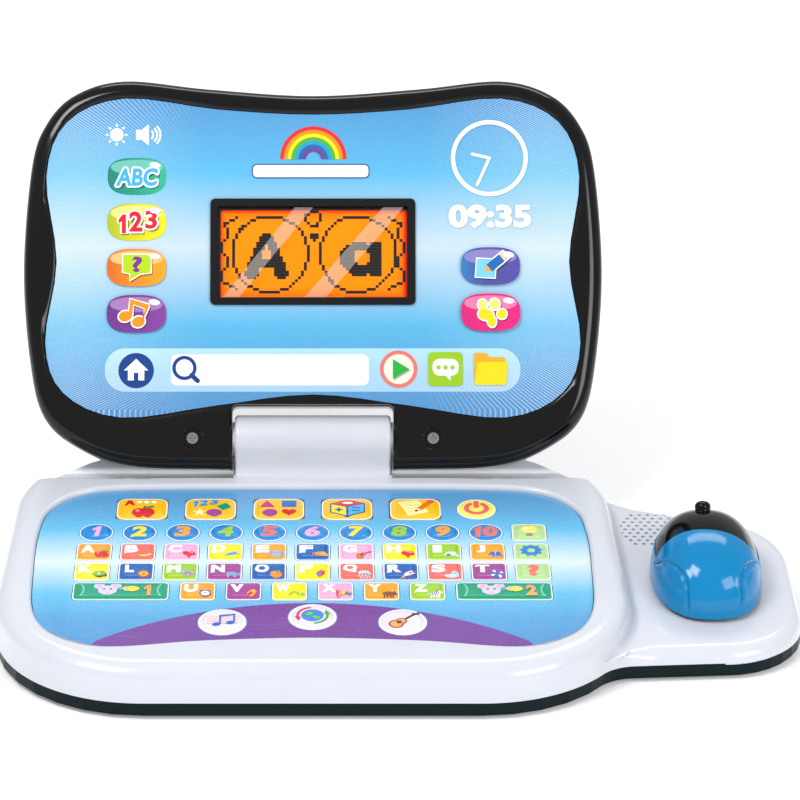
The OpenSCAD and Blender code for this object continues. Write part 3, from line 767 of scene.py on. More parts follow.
def knuckle():
    """The white hinge block: a soft-edged barrel on a foot that flares into the back rim."""
    front = HINGE.y - BARREL_R
    foot = bend((26.2, deck_z(26.2, RIM_UP) - 0.3), (front - 0.3, deck_z(28, RIM_UP)),
                (front + 0.05, 36.5), 8)
    profile = np.vstack([foot, [(front + 0.02, 39.5)],
                         arc((HINGE.y, HINGE.z), BARREL_R, 180, 0, 48),
                         [(51.0, 38.0), (51.0, 33.0), (50.0, 27.0), (38.0, 26.0), (27.0, 27.0)]])
    profile = profile[::-1]
    in_side = inward(profile)
    axis = np.array([HINGE.y, HINGE.z])
    out = profile - axis
    bore = axis + BORE_R * out / np.linalg.norm(out, axis=1)[:, None]
    part = [(KNUCKLE_HALF - BORE_DEPTH, bore), (KNUCKLE_HALF, bore)]
    for a in np.radians(np.linspace(0, 90, 8)):
        part.append((KNUCKLE_HALF - KNUCKLE_EDGE * (1 - math.cos(a)),
                     profile + in_side * KNUCKLE_EDGE * (1 - math.sin(a))))
    rings = []
    for side in (1, -1):
        ordered = part if side > 0 else part[::-1]
        rings += [np.column_stack([np.full(len(q), MIDDLE + side * x), q]) for x, q in ordered]
    points, faces = loft(rings, ends=(True, True))
    piece("hinge_block", points, faces, WHITE, "base", sharp=42)


base_top()
knuckle()

# ---- lid casing ----

LID_CENTRE = np.array([0.0, 75.0])
FRONT_R, BACK_R = 6.2, 6.5
BACK_CROWN = 0.35  # the back bulges by this much


def lid_rings(outer, low, high, width):
    """The lid's rounded edge, from one height in to another."""
    return [level(outer + inward(outer) * width * (1 - math.cos(a)),
                  low + (high - low) * math.sin(a))
            for a in np.radians(np.linspace(0, 90, 12))]


def notch_cutter():
    """A block as wide as the notch, stepped inside and flared where it meets the lid's faces."""
    sections = [(-14, 1.2), (-11.2, 1.2), (-9.6, 0), (1.5, 0), (1.5, 0.9), (4.2, 0.9), (4.2, 0),
                (8.3, 0), (9.7, 1.3), (13, 1.3)]
    rings = []
    for d, grow in sections:
        w, top = 2 * (NOTCH_HALF + grow), NOTCH_TOP + grow + 40
        rings.append(level(rounded(w, top, 2.5, centre=(0, top / 2 - 40)), d))
    points, faces = loft(rings, ends=(True, True))
    return on_lid(points), faces


def lid_front():
    """The black rim round the printed face, notched for the hinge and drilled for two screws."""
    outer = smooth(LID_HALF)
    face = ray_hits(smooth(FACE_HALF), LID_CENTRE, outer - LID_CENTRE)
    face_in = inward(face)
    rings = [level(outer, 0.05)] + lid_rings(outer, 3.6, LID_FRONT, FRONT_R)
    crest = outer + inward(outer) * FRONT_R
    lip = face - face_in * 0.9
    for t, drop in ((0.25, 0.02), (0.5, 0.1), (0.75, 0.3), (1.0, 0.45)):
        rings.append(level(crest + (lip - crest) * t, LID_FRONT - drop))
    for t, d in ((0.5, 8.85), (0.15, 8.6), (0.02, 8.2)):
        rings.append(level(face - face_in * 0.9 * t, d))
    rings.append(level(face - face_in * 0.02, 7.0))
    rings.append(level(outer + inward(outer) * 3.0, 0.05))
    points, faces = loft(rings, around=True)
    item = piece("lid_rim", on_lid(points), faces, BLACK, "lid", ["lid_front"])
    cutters = [notch_cutter()]
    for x in (-50, 50):
        cutters += [lid_hole(x, 0.1, sections, 28) for sections in
                    ([(4.15, 6.9), (4.15, 12)], [(4.15, 8.9), (5.0, 9.6), (5.0, 12)])]
    carve(item, cutters)


def lid_back():
    """The black back shell with its four screw holes."""
    outer = smooth(LID_HALF)
    side = lid_rings(outer, -4.2, LID_BACK + BACK_CROWN, BACK_R)
    flat = outer + inward(outer) * BACK_R
    rings = [level(outer, -0.05)] + side
    for share in (0.9, 0.7, 0.45, 0.2):
        rings.append(level(LID_CENTRE + (flat - LID_CENTRE) * share,
                           LID_BACK + BACK_CROWN * share ** 2))
    points, faces = loft(rings[::-1], ends=(True, True))
    item = piece("lid_shell", on_lid(points), faces, BLACK, "lid", ["lid_back"])
    holes = [lid_hole(x, s, [(3.6, -13), (3.6, -11), (2.8, -10.2), (2.8, -8)], 24)
             for x, s in ((-98, 30), (98, 30), (-92, 128), (92, 128))]
    carve(item, [notch_cutter(), *holes])


lid_front()
lid_back()


# ---- keys ----

MODE_KEY, LETTER_KEY = (20.8, 17.2), (14.0, 13.4)


def key_height(w, h, r):
    """The height of a key's face over the film: a flat rim, a soft shoulder and a crown."""
    def height(x, y):
        qx, qy = np.abs(x) - (w / 2 - r), np.abs(y) - (h / 2 - r)
        away = np.hypot(np.maximum(qx, 0), np.maximum(qy, 0)) + np.minimum(np.maximum(qx, qy), 0)
        t = np.clip((r - away - 1.1) / 1.5, 0, 1)
        crown = np.clip((r - away - 2.6) / 4.0, 0, 1)
        return 0.16 + 0.62 * t * t * (3 - 2 * t) + 0.09 * crown
    return height


def key_ring(w, h, r, inset=0.0):
    """A key's edge or a ring within it, which is a circle where the corners take it all up."""
    if r >= w / 2 - 0.01:
        return oval(0, 0, w / 2 - inset, count=56)
    return rounded(w - 2 * inset, h - 2 * inset, max(r - inset, 0.5))


def key_mesh(w, h, r):
    """A key's body and face, from its foot under the film, centred on its own middle."""
    surface = key_height(w, h, r)
    outline = key_ring(w, h, r)
    rings = [level(outline, -2.6), level(outline, 0.02)]
    for inset in (0.12, 0.5, 0.9, 1.15, 1.4, 1.65, 1.9, 2.15, 2.4, 2.7, 3.4, 4.4):
        if inset > min(w, h) / 2 - 0.6:
            break
        ring = key_ring(w, h, r, inset)
        rings.append(level(ring, surface(ring[:, 0], ring[:, 1])))
    return loft(rings, ends=(True, True))


def keycap(w, h, r, face, sheet, at):
    """One key: its body in the face colour, a white printed edge, and its picture over it."""
    body = key_mesh(w, h, r)
    round_it = len(key_ring(w, h, r))
    inks = [face] * len(body[1])
    inks[round_it:3 * round_it] = [PAPER] * (2 * round_it)
    art, art_faces, art_inks = sheet.draped(key_height(w, h, r))
    points, faces = joined([body, (art, art_faces)])
    return points + (*at, 0), faces, inks + art_inks


def key_piece(node, caps):
    """The keys of one node as one piece."""
    points, faces = joined([cap[:2] for cap in caps])
    inked("cap_" + node, on_deck(points), faces, [c for cap in caps for c in cap[2]], node,
          [node], sharp=48)


# Small pictures, each drawn about its middle in a space some 7 mm wide.

def apple():
    s = Sheet().put(RED, oval(-1.2, -0.3, 1.9, 2.2), oval(1.2, -0.3, 1.9, 2.2))
    s.put(BROWN, line([(0, 1.6), (0.3, 3.0)], 0.4)).put(LEAF, oval(1.6, 2.5, 1.4, 0.6, 20))
    return s.put("#F58A80", oval(-1.6, 0.5, 0.6, 0.8))


def banana():
    outer = bend((-3.2, -0.6), (0.5, -4.6), (3.4, 2.2))
    inner = bend((3.4, 2.2), (0.8, -1.6), (-3.2, -0.6))
    s = Sheet().put("#F7D516", np.vstack([outer, inner[1:-1]])).put(BROWN, oval(3.3, 2.1, 0.4))
    return s.put("#FFF3A0", line(bend((-1.5, -1.4), (1, -2.4), (2.4, 0)), 0.3))


def hearts():
    return Sheet().put(RED, heart(0, 0, 2.9)).put("#F79A94", oval(1.2, 0.9, 0.7, 0.5, 20))


def drop():
    s = Sheet().put("#4AA3E0", np.vstack([bend((-3.4, -1.6), (-1.5, 2.6), (3.2, 1.0)),
                                          bend((3.2, 1.0), (0.6, -1.4), (-3.4, -1.6))[1:-1]]))
    return s.put("#4AA3E0", [(0, 0.6), (0.9, 2.6), (1.4, 0.8)]).put(PAPER, oval(2.0, 0.9, 0.3))


def leaf_ear():
    s = Sheet().put(STEEL, oval(-1.9, 0.6, 1.5, 1.9), oval(1.9, 0.6, 1.5, 1.9))
    s.put("#A9BCD8", oval(0, 0, 1.9, 2.2)).put(STEEL, line([(0, -0.8), (0.3, -2.9)], 0.9))
    return s.put(INK, oval(-0.7, 0.6, 0.25), oval(0.7, 0.6, 0.25))


def fish(body="#F7A81B", tail="#F2612F"):
    s = Sheet().put(tail, [(-1.9, 0), (-3.8, 1.8), (-3.2, 0), (-3.8, -1.8)])
    s.put(body, oval(0.5, 0, 2.9, 1.8)).put(tail, band(0.5, 0, 1.8, 1.4, 100, 260))
    return s.put(PAPER, oval(2.1, 0.5, 0.5)).put(INK, oval(2.2, 0.5, 0.25))


def guitar():
    s = Sheet().put("#5C3413", line([(0.3, 0.2), (3.2, 2.9)], 0.6))
    s.put("#C86A1C", oval(-1.8, -1.5, 1.8), oval(-0.4, -0.3, 1.3))
    s.put("#5C3413", oval(-1.0, -0.9, 0.6))
    return s.put("#E9B27A", line([(-2.4, -2.0), (-1.7, -2.7)], 0.3))


def igloo():
    s = Sheet().put("#DDF0FA", oval(0, -1.6, 3.3, 3.4, start=0, stop=180))
    s.put("#9CC7E0", line([(-2.9, -0.3), (2.9, -0.3)], 0.2), line([(-2, 0.9), (2, 0.9)], 0.2))
    return s.put("#31617E", oval(-1.4, -1.6, 1.0, 1.4, start=0, stop=180))


def jacket():
    s = Sheet().put("#3A63B8", [(-1.5, 2), (1.5, 2), (1.7, -2.2), (-1.7, -2.2)],
                    [(-1.5, 2), (-3.3, -1), (-2.5, -1.6), (-1.3, 0.4)],
                    [(1.5, 2), (1.3, 0.4), (2.5, -1.6), (3.3, -1)])
    return s.put("#C7D4EE", line([(0, 1.9), (0, -2.1)], 0.25), line([(-1, 2), (0, 0.9)], 0.3),
                 line([(1, 2), (0, 0.9)], 0.3))


def kiwi():
    s = Sheet().put("#6B4423", oval(0.2, -0.2, 3.1, 2.4)).put("#8CC63F", oval(-0.2, 0.1, 2.6, 1.9))
    s.put("#EAF4C8", oval(-0.2, 0.1, 0.8, 0.6))
    return s.put(INK, *[oval(-0.2 + 1.4 * math.cos(a), 0.1 + 1.0 * math.sin(a), 0.16, count=8)
                        for a in np.arange(10) * 0.628])


def lion():
    s = Sheet().put("#B5651D", star(0, 0, 3.1, 2.4, 12)).put("#F3B33D", oval(0, 0, 2.0))
    s.put(INK, oval(-0.7, 0.5, 0.25), oval(0.7, 0.5, 0.25), oval(0, -0.4, 0.4, 0.3))
    return s.put(INK, line(bend((-0.7, -1.0), (0, -1.5), (0.7, -1.0)), 0.2))


def mouse_face(coat="#9A9AA2", inner=PINK):
    s = Sheet().put(coat, oval(-1.9, 1.5, 1.3), oval(1.9, 1.5, 1.3), oval(0, -0.3, 2.2, 2.0))
    s.put(inner, oval(-1.9, 1.5, 0.7), oval(1.9, 1.5, 0.7), oval(0, -1.3, 0.5, 0.4))
    return s.put(INK, oval(-0.8, 0.1, 0.28), oval(0.8, 0.1, 0.28))


def rhino():
    s = Sheet().put("#7FA3CC", oval(0, -0.2, 2.8, 1.6), oval(2.4, 0.3, 1.3, 1.0),
                    [(2.9, 0.9), (3.7, 2.6), (3.6, 0.5)])
    s.put("#7FA3CC", box_of(-1.7, -2.0, 0.9, 1.4), box_of(1.2, -2.0, 0.9, 1.4))
    return s.put(INK, oval(2.5, 0.6, 0.22))


def orange_fruit():
    s = Sheet().put("#F58A1F", oval(0, -0.3, 2.6)).put("#FBC07A", oval(-0.8, 0.6, 0.7, 0.5, 30))
    return s.put(LEAF, oval(0.9, 2.3, 1.2, 0.5, 15))


def bird(body="#E4262C", wing="#1E88D2"):
    s = Sheet().put(body, oval(0, 0, 1.7, 2.4, -20), oval(0.7, 1.9, 1.2))
    s.put(wing, oval(-0.5, -0.4, 0.9, 1.8, -25))
    s.put("#F6B21A", [(1.7, 2.2), (2.9, 1.7), (1.7, 1.4)])
    return s.put(PAPER, oval(0.9, 2.1, 0.4)).put(INK, oval(1.0, 2.1, 0.2))


def jellyfish():
    s = Sheet().put("#9FD8F2", *[line(bend((x, 0), (x - 0.6, -1.5), (x + 0.5, -2.9)), 0.45)
                                 for x in (-2, -0.8, 0.6, 1.9)])
    return s.put("#BEE7F8", oval(0, 0, 2.9, 2.4, start=0, stop=180)).put(
        INK, oval(-0.8, 0.9, 0.25), oval(0.8, 0.9, 0.25))


def rocket():
    s = Sheet().put("#F6B21A", [(-2.2, -1.5), (-3.7, -3.1), (-1.4, -2.3)])
    s.put(RED, [(-1.6, 0.6), (-3.0, -0.2), (-1.0, -0.8)], [(0.7, -1.7), (0.2, -3.1), (-0.9, -1.0)])
    s.put("#E8EEF6", oval(0.4, 0.3, 3.1, 1.35, 40)).put(RED, oval(2.1, 1.75, 0.9, 0.75, 40))
    return s.put("#1E5FB0", oval(0.6, 0.5, 0.6))


def seal():
    s = Sheet().put("#BDE0EE", oval(-0.6, -1.6, 3.2, 1.1), oval(0.9, 0.2, 1.7, 1.9))
    return s.put(INK, oval(0.4, 0.7, 0.24), oval(1.6, 0.7, 0.24), oval(1.0, 0.1, 0.35, 0.25))


def ring_tyre():
    s = Sheet().put("#2B74C4", band(0, 0, 3.0, 1.3)).put(PAPER, *[
        band(0, 0, 3.0, 1.3, a, a + 26, 6) for a in (20, 110, 200, 290)])
    return s


def clock(rim="#6A4C9C"):
    s = Sheet().put(rim, oval(-1.6, 1.9, 0.8), oval(1.6, 1.9, 0.8), oval(0, 0, 2.6))
    s.put(PAPER, oval(0, 0, 1.9))
    return s.put(INK, line([(0, 0), (0.9, 0.8)], 0.35), line([(0, 0), (-0.8, 0.7)], 0.35))


def worm():
    return Sheet().put("#9CC63B", line(bend((-3.2, -1.4), (-1.2, 3.2), (0.4, -0.6)), 1.3),
                       line(bend((0.2, -0.6), (1.6, -2.6), (2.8, 1.2)), 1.3)).put(
        PAPER, oval(2.9, 1.5, 0.4)).put(INK, oval(3.0, 1.5, 0.2))


def xylophone():
    s = Sheet()
    for k, colour in enumerate((RED, ORANGE, YELLOW, LEAF, "#2D8BD6")):
        s.put(colour, box_of(-2.6 + 1.3 * k, 0, 1.0, 4.6 - 0.6 * k))
    return s.put(VIOLET, line([(-2.6, -2.9), (3.2, 0.6)], 0.35), oval(3.3, 0.7, 0.55))


def yak():
    s = Sheet().put("#8A4A1E", oval(-0.4, -0.4, 2.8, 1.7), oval(2.2, 0.6, 1.2))
    s.put("#5C3013", *[box_of(x, -2.2, 0.6, 1.4) for x in (-2.2, -0.9, 0.5, 1.5)])
    return s.put("#F2E2C0", line(bend((1.4, 1.4), (0.8, 2.3), (1.3, 2.8)), 0.4),
                 line(bend((3.0, 1.4), (3.6, 2.3), (3.1, 2.8)), 0.4)).put(INK, oval(2.5, 0.8, 0.2))


def zebra():
    s = Sheet().put(PAPER, oval(-0.4, -0.6, 2.6, 1.5), oval(1.9, 1.4, 1.3, 0.9, 40),
                    line([(1.0, 0), (1.7, 1.4)], 1.4))
    s.put(PAPER, *[box_of(x, -2.3, 0.6, 1.4) for x in (-2.0, -0.9, 0.6, 1.5)])
    s.put(INK, *[line([(x, 0.6), (x - 0.5, -1.8)], 0.35) for x in (-2.0, -1.2, -0.4, 0.4, 1.2)])
    return s.put(INK, line([(0.4, 1.2), (1.2, 2.6)], 0.4), oval(2.3, 1.6, 0.2))


def letter_cap(letter, face, picture, at):
    sheet = Sheet().write(letter, PAPER, -2.6, 1.6, 5.6 if letter not in "IJL" else 3.6, 6.4,
                          weight=0.06)
    sheet.take(picture.moved(3.1, -2.6, 0.92))
    return keycap(*LETTER_KEY, 2, face, sheet, at)


LETTERS = {
    "A": (ORANGE, apple), "B": (SALMON, banana), "C": (PINK, hearts), "D": (YELLOW, drop),
    "E": (ORANGE, leaf_ear), "F": (BLUE, fish), "G": (PINK, guitar), "H": (YELLOW, hearts),
    "I": (GREEN, igloo), "J": (ORANGE, jacket), "K": (YELLOW, kiwi), "L": (BLUE, lion),
    "M": (GREEN, mouse_face), "N": (VIOLET, rhino), "O": (BLUE, orange_fruit), "P": (YELLOW, bird),
    "Q": (SALMON, jellyfish), "R": (BLUE, rocket), "S": (SALMON, seal), "T": (VIOLET, ring_tyre),
    "U": (ORANGE, clock), "V": (VIOLET, lambda: bird("#F6B21A", "#E4262C")), "W": (YELLOW, worm),
    "X": (PINK, xylophone), "Y": (ORANGE, yak), "Z": (GREEN, zebra)}
NUMBER_INKS = (PINK, YELLOW, ORANGE, GREEN, SALMON, PINK, YELLOW, GREEN, ORANGE, SALMON)


def letter_row(node, letters, v, pitch, first):
    caps = []
    for i, letter in enumerate(letters):
        face, picture = LETTERS[letter]
        caps.append(letter_cap(letter, face, picture(), ((i - first) * pitch, v)))
    key_piece(node, caps)


letter_row("keys_a_to_j", "ABCDEFGHIJ", ROW_2, PITCH, 5)
letter_row("keys_k_to_t", "KLMNOPQRST", ROW_3, PITCH, 5)
letter_row("keys_u_to_z", "UVWXYZ", ROW_4, 18.06, 2.5)
for number in range(1, 11):
    tone, art = NUMBER_INKS[number - 1], Sheet()
    if number in (1, 10):
        art.one(tone, 0 if number == 1 else -3.6, 0, 3.8, 8.0, lean=0.12)
    if number > 1:
        art.write(str(number)[-1], tone, 0 if number < 10 else 1.9, 0, 6.2, 8.2, lean=0.12,
                  weight=0.05)
    key_piece(f"key_{number}",
              [keycap(13.8, 13.8, 6.9, "#0A84CF", art, ((number - 6) * PITCH, 0))])


def first_words():
    s = Sheet().write("A", RED, -5.2, 4.4, 4.6, 5.2, weight=0.06)
    s.put(PAPER, *[oval(x, 4.6, 1.1) for x in (-1.4, 1.6, 4.6)])
    return s.take(apple().moved(0.6, -3.4, 1.5))


def counting():
    s = Sheet()
    s.one("#0C9BE0", -6.4, 3.2, 2.4, 5.0, lean=0.15)
    for digit, x, y in (("2", -2.8, 4.0), ("3", 1.4, 4.9)):
        s.write(digit, "#0C9BE0", x, y, 3.4, 5.0, lean=0.15, weight=0.06)
    s.put(TEAL, box_of(0, 0, 4.6, 4.2) @ np.array([[0.8, 0.6], [-0.6, 0.8]]) + (5.6, 0.9))
    return s.put(VIOLET, oval(1.6, -4.1, 3.2, 2.7)).put("#FFF2A8", star(-4.4, -4.0, 3.3, 1.4))


def shapes():
    s = Sheet().put("#C8207A", [(-8, 0.4), (-1.6, 0.4), (-4.8, 6.4)])
    s.put("#1C6FC0", box_of(4.2, 3.2, 6.0, 5.4)).put(VIOLET, oval(-3.6, -4.0, 3.1, 2.8))
    return s.put(RED, heart(4.2, -3.6, 3.0))


def music_block():
    s = Sheet()
    s.put("#1C55A8", [(-7, 3.4), (0.4, 6.8), (7.4, 3.8), (7.4, -3.8), (0, -7.2), (-7, -4)])
    s.put("#E23A34", [(-6.4, 3.3), (0.3, 6.2), (6.6, 3.7), (0, 1.0)])
    s.put("#F2E21E", [(-6.4, 2.7), (-0.4, 0.4), (-0.4, -6.3), (-6.4, -3.7)])
    s.put("#54B4E8", [(0.5, 0.4), (6.8, 3.0), (6.8, -3.5), (0.5, -6.3)])
    s.put("#1C55A8", box_of(-3.4, -1.8, 3.0, 0.9), box_of(-3.4, -1.8, 0.9, 3.0),
          box_of(3.6, -0.2, 3.4, 0.8), box_of(3.6, -2.4, 3.4, 0.8))
    return s.put(PAPER, oval(0.2, 3.7, 2.2, 0.9))


def writing():
    s = Sheet().put("#FFF7A6", [(-7.2, 4.6), (1.2, 6.6), (5.4, -3.6), (-3.0, -6.6)])
    s.put("#D9CF6A", *[line([(-5.2 + 0.9 * k, 3.4 - 2.2 * k), (0.9 + 0.9 * k, 4.8 - 2.2 * k)], 0.3)
                       for k in range(4)])
    s.put("#E9781E", line([(1.6, -1.2), (6.4, 5.0)], 2.6)).put("#E8505A", oval(6.5, 5.3, 1.4))
    return s.put("#F7D9A8", [(0.4, -0.2), (2.6, -2.0), (-0.2, -3.4)]).put(INK, oval(0.3, -2.8, 0.6))


MODE_ART = {"key_first_words": first_words, "key_counting": counting, "key_shapes": shapes,
            "key_music_blocks": music_block, "key_writing": writing}
for place, (node, art) in enumerate(MODE_ART.items()):
    key_piece(node, [keycap(*MODE_KEY, 4.4, "#FFC20A", art(),
                                          ((place - 2) * 27.95 - 13.9, 19.2))])


def power():
    return Sheet().put(SALMON, band(0, -0.4, 5.2, 3.1, 125, 415), oval(-2.4, 3.0, 1.0),
                       oval(2.4, 3.0, 1.0)).put(SALMON, line([(0, 4.6), (0, 0.8)], 2.2))


key_piece("key_power", [keycap(16, 16, 8, "#FBEF6B", power(), (67, 19.2))])


def bulb():
    s = Sheet().put("#FFE85A", oval(0, 1.2, 3.1)).put("#8E8E94", box_of(0, -2.7, 2.6, 2.4))
    rays = [line([(r * math.cos(a), 1.2 + r * math.sin(a)) for r in (4.0, 5.1)], 0.5)
            for a in np.radians([20, 90, 160])]
    return s.put(PAPER, oval(-1.0, 2.0, 0.8)).put(ORANGE, *rays)


def gear():
    return Sheet().put("#2E7FC8", star(0, 0, 5.0, 3.6, 9), oval(0, 0, 3.8)).put(
        "#B5D890", oval(0, 0, 1.6))


def question():
    return Sheet().write("?", SALMON, 0, 0, 5.0, 8.6, weight=0.06)


for node, art, v in (("key_hint", bulb, 0.0), ("key_settings", gear, ROW_2),
                     ("key_help", question, ROW_3)):
    key_piece(node, [keycap(*LETTER_KEY, 2, "#B5D890", art(), (5 * PITCH, v))])


def player(number):
    s = Sheet().put("#7CC9A8", line(bend((-15.6, -4.2), (-13.4, 0), (-15.6, 4.2)), 0.7),
                    line(bend((15.6, -4.2), (13.4, 0), (15.6, 4.2)), 0.7))
    s.take(mouse_face("#D9CDEB", "#F3B2D0").moved(-5.2, 0.2, 1.7))
    s.take(fish("#FFD92E", "#53B9E6").moved(3.4, 0.6, 1.15))
    if number == 1:
        return s.one("#F6A25A", 10.6, -0.6, 3.2, 7.6)
    return s.write("2", "#F6A25A", 10.6, -0.6, 4.2, 7.6, weight=0.06)


for number, u in ((1, -75.3), (2, 75.3)):
    key_piece(f"key_player_{number}", [keycap(37.8, 13.4, 2, TEAL, player(number),
                                                           (u, ROW_4))])


def melody():
    s = Sheet().put("#F2952E", *[line([(-6, y), (6, y)], 0.35) for y in (2.6, 1.0, -0.6, -2.2)])
    return s.put("#1C5FC0", oval(-2.2, -2.8, 1.7, 1.3, 20), oval(3.2, -1.6, 1.7, 1.3, 20),
                 line([(-0.8, -2.6), (-0.8, 3.4)], 0.7), line([(4.6, -1.4), (4.6, 4.4)], 0.7),
                 line([(-0.8, 3.4), (4.6, 4.4)], 1.1))


def globe():
    s = Sheet().put("#2C86D2", oval(0, 0, 4.4)).put("#6CC24A", oval(-1.2, 1.2, 1.6, 1.1, 30),
                                                   oval(1.4, -1.4, 1.5, 1.0, -20))
    s.put(RED, line(arc((0, 0), 5.8, 100, 200), 1.0), [(-7, -0.6), (-4.4, -1.2), (-5.4, -4.0)])
    return s.put(LEAF, line(arc((0, 0), 5.8, -80, 20), 1.0), [(7, 0.6), (4.4, 1.2), (5.4, 4.0)])


def big_guitar():
    s = Sheet().put("#5C3413", line([(0, 0), (4.9, 5.0)], 1.2))
    s.put("#B5541A", oval(-2.6, -2.6, 3.0), oval(-0.6, -0.5, 2.3))
    s.put("#E9A662", oval(-2.6, -2.6, 2.2), oval(-0.6, -0.5, 1.6))
    s.put("#5C3413", oval(-1.4, -1.3, 1.1))
    return s.put("#5C3413", line([(4.4, 4.6), (5.8, 5.9)], 1.8))


for node, art, place in zip(("key_melody", "key_language", "key_guitar"),
                            (melody, globe, big_guitar), FUNCTION_AT):
    key_piece(node, [keycap(2 * FUNCTION_R, 2 * FUNCTION_R, FUNCTION_R, "#E2DAEE",
                                         art(), place)])


# ---- lid face and film ----

UP_LID = (0.0, math.sin(LEAN), math.cos(LEAN))
UP_DECK = (0.0, math.cos(TILT), math.sin(TILT))
ACROSS = (1.0, 0.0, 0.0)
LID_BLUES = [(8, "#4F8CC4"), (20, "#5496C9"), (47, "#55B2DE"), (80, "#C4D8E6"),
             (111, "#58B5E0"), (144, "#4E8EC6")]
FILM_BLUES = [(-88, "#4F8BC6"), (-66, "#549FD2"), (-47, "#66BDE6"), (-23, "#D8E8F2"),
              (3, "#64BEE6"), (18, "#62A9DA"), (36, "#5899CE")]
LINES_FROM = 46.0  # distance from the middle where the printed lines begin
LINES_SWAY = 27.0
LINES_GAP, LINES_SPREAD = 0.85, 1.35  # apart at mid height, and how much more at the ends


def dress(node, material):
    """Gives a kept CAD part its material."""
    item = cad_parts[node]
    if not item.material_slots:
        item.data.materials.append(material)
    for place in item.material_slots:
        place.material = material


def lines_over(g, colour):
    """Thin pale printed lines that sway down both ends of the lid's face."""
    up = g.along(UP_LID, HINGE)
    across = g.along(ACROSS, HINGE)
    turn = g.span(up, 12.0, 144.0, -1.0, 1.0)
    sway = g.calc("MULTIPLY", g.calc("SINE", g.calc("MULTIPLY", turn, math.pi / 2)), LINES_SWAY)
    gap = g.calc("ADD", g.calc("MULTIPLY", g.calc("MULTIPLY", turn, turn), LINES_SPREAD),
                 LINES_GAP)
    phase = g.calc("DIVIDE", g.calc("ADD", across, sway), gap)
    wave = g.calc("SINE", g.calc("MULTIPLY", phase, 2 * math.pi))
    line = g.span(wave, 0.35, 0.95)
    end = g.span(g.calc("ABSOLUTE", across), LINES_FROM, LINES_FROM + 50.0)
    return g.mix(g.calc("MULTIPLY", g.calc("MULTIPLY", line, end), 0.55), colour,
                 (0.86, 0.95, 1.0, 1.0))


def blend_ink(name, direction, origin, stops, lines=False):
    """A printed gradient along a direction; stops are (distance in mm, colour), rising."""
    g = Graph("ink_" + name)
    low, high = stops[0][0], stops[-1][0]
    across = g.span(g.along(direction, origin), low, high)
    colour = g.ramp(across, [((at - low) / (high - low), rgb(code)) for at, code in stops])
    if lines:
        colour = lines_over(g, colour)
    INKS[name] = g.finish(colour, 0.26, coat=0.3, mottle=0.02, bump=0.012)
    return INKS[name]


dress("faceplate", blend_ink("lid_sky", UP_LID, HINGE, LID_BLUES, True))
dress("keyboard_overlay", blend_ink("film_sky", UP_DECK, DECK, FILM_BLUES))


def band_print():
    """The purple band along the front of the film, with round openings for its three keys."""
    film = smooth(FILM_HALF)
    film = film + inward(film) * 0.25
    middle, radius = -192.5, 137.6  # of the arc along the band's top
    edge = np.array([p for p in film if math.hypot(p[0], p[1] - middle) < radius and p[1] < -60])
    edge = edge[np.argsort(edge[:, 0])]
    reach = math.degrees(math.acos(edge[-1][0] / radius))
    top = arc((0, middle), radius, reach, 180 - reach, 60)
    holes = [oval(x, y, 9.8, count=48) for x, y in FUNCTION_AT]
    sheet = Sheet().put("#733A92", np.vstack([edge, top[1:-1]]), holes=holes)
    printed("film_band", sheet, on_deck, "base", 0.01)


band_print()


def pill(x, y, w=24.6, h=15.8, square=2.8):
    """A soft rectangle, between an oval and a box."""
    a = np.linspace(0, 2 * math.pi, 57)[:-1]
    c, s = np.cos(a), np.sin(a)
    return np.column_stack([x + w / 2 * np.sign(c) * np.abs(c) ** (2 / square),
                            y + h / 2 * np.sign(s) * np.abs(s) ** (2 / square)])


def sticker(sheet, shadow, shapes, edge=0.55):
    """Coloured shapes with a shared white edge and a dark shadow under it."""
    fat = [grow(outline, edge) for _, outline in shapes]
    sheet.put(shadow, *[f + (0.35, -0.5) for f in fat])
    sheet.put(PAPER, *fat)
    for colour, outline in shapes:
        sheet.put(colour, outline)


def lid_button(sheet, name, x, y, stops, painted_highlight):
    """A glossy round-ended button: shaded body, a pale painted highlight up top and a white painted
    glint.
    """
    blend_ink(name, ACROSS, HINGE, [(x + at, code) for at, code in stops])
    sheet.put(name, pill(x, y))
    # painted highlight: a paler band over the button's upper part
    sheet.put(painted_highlight, pill(x, y + 3.9, 21.8, 6.2, 2.2))


def glint(sheet, x, y):
    # painted highlight: a small white glint up and to the right of a button
    sheet.put("#EFE6F3", oval(x + 7.5, y + 4.8, 2.4, 1.25, -8))


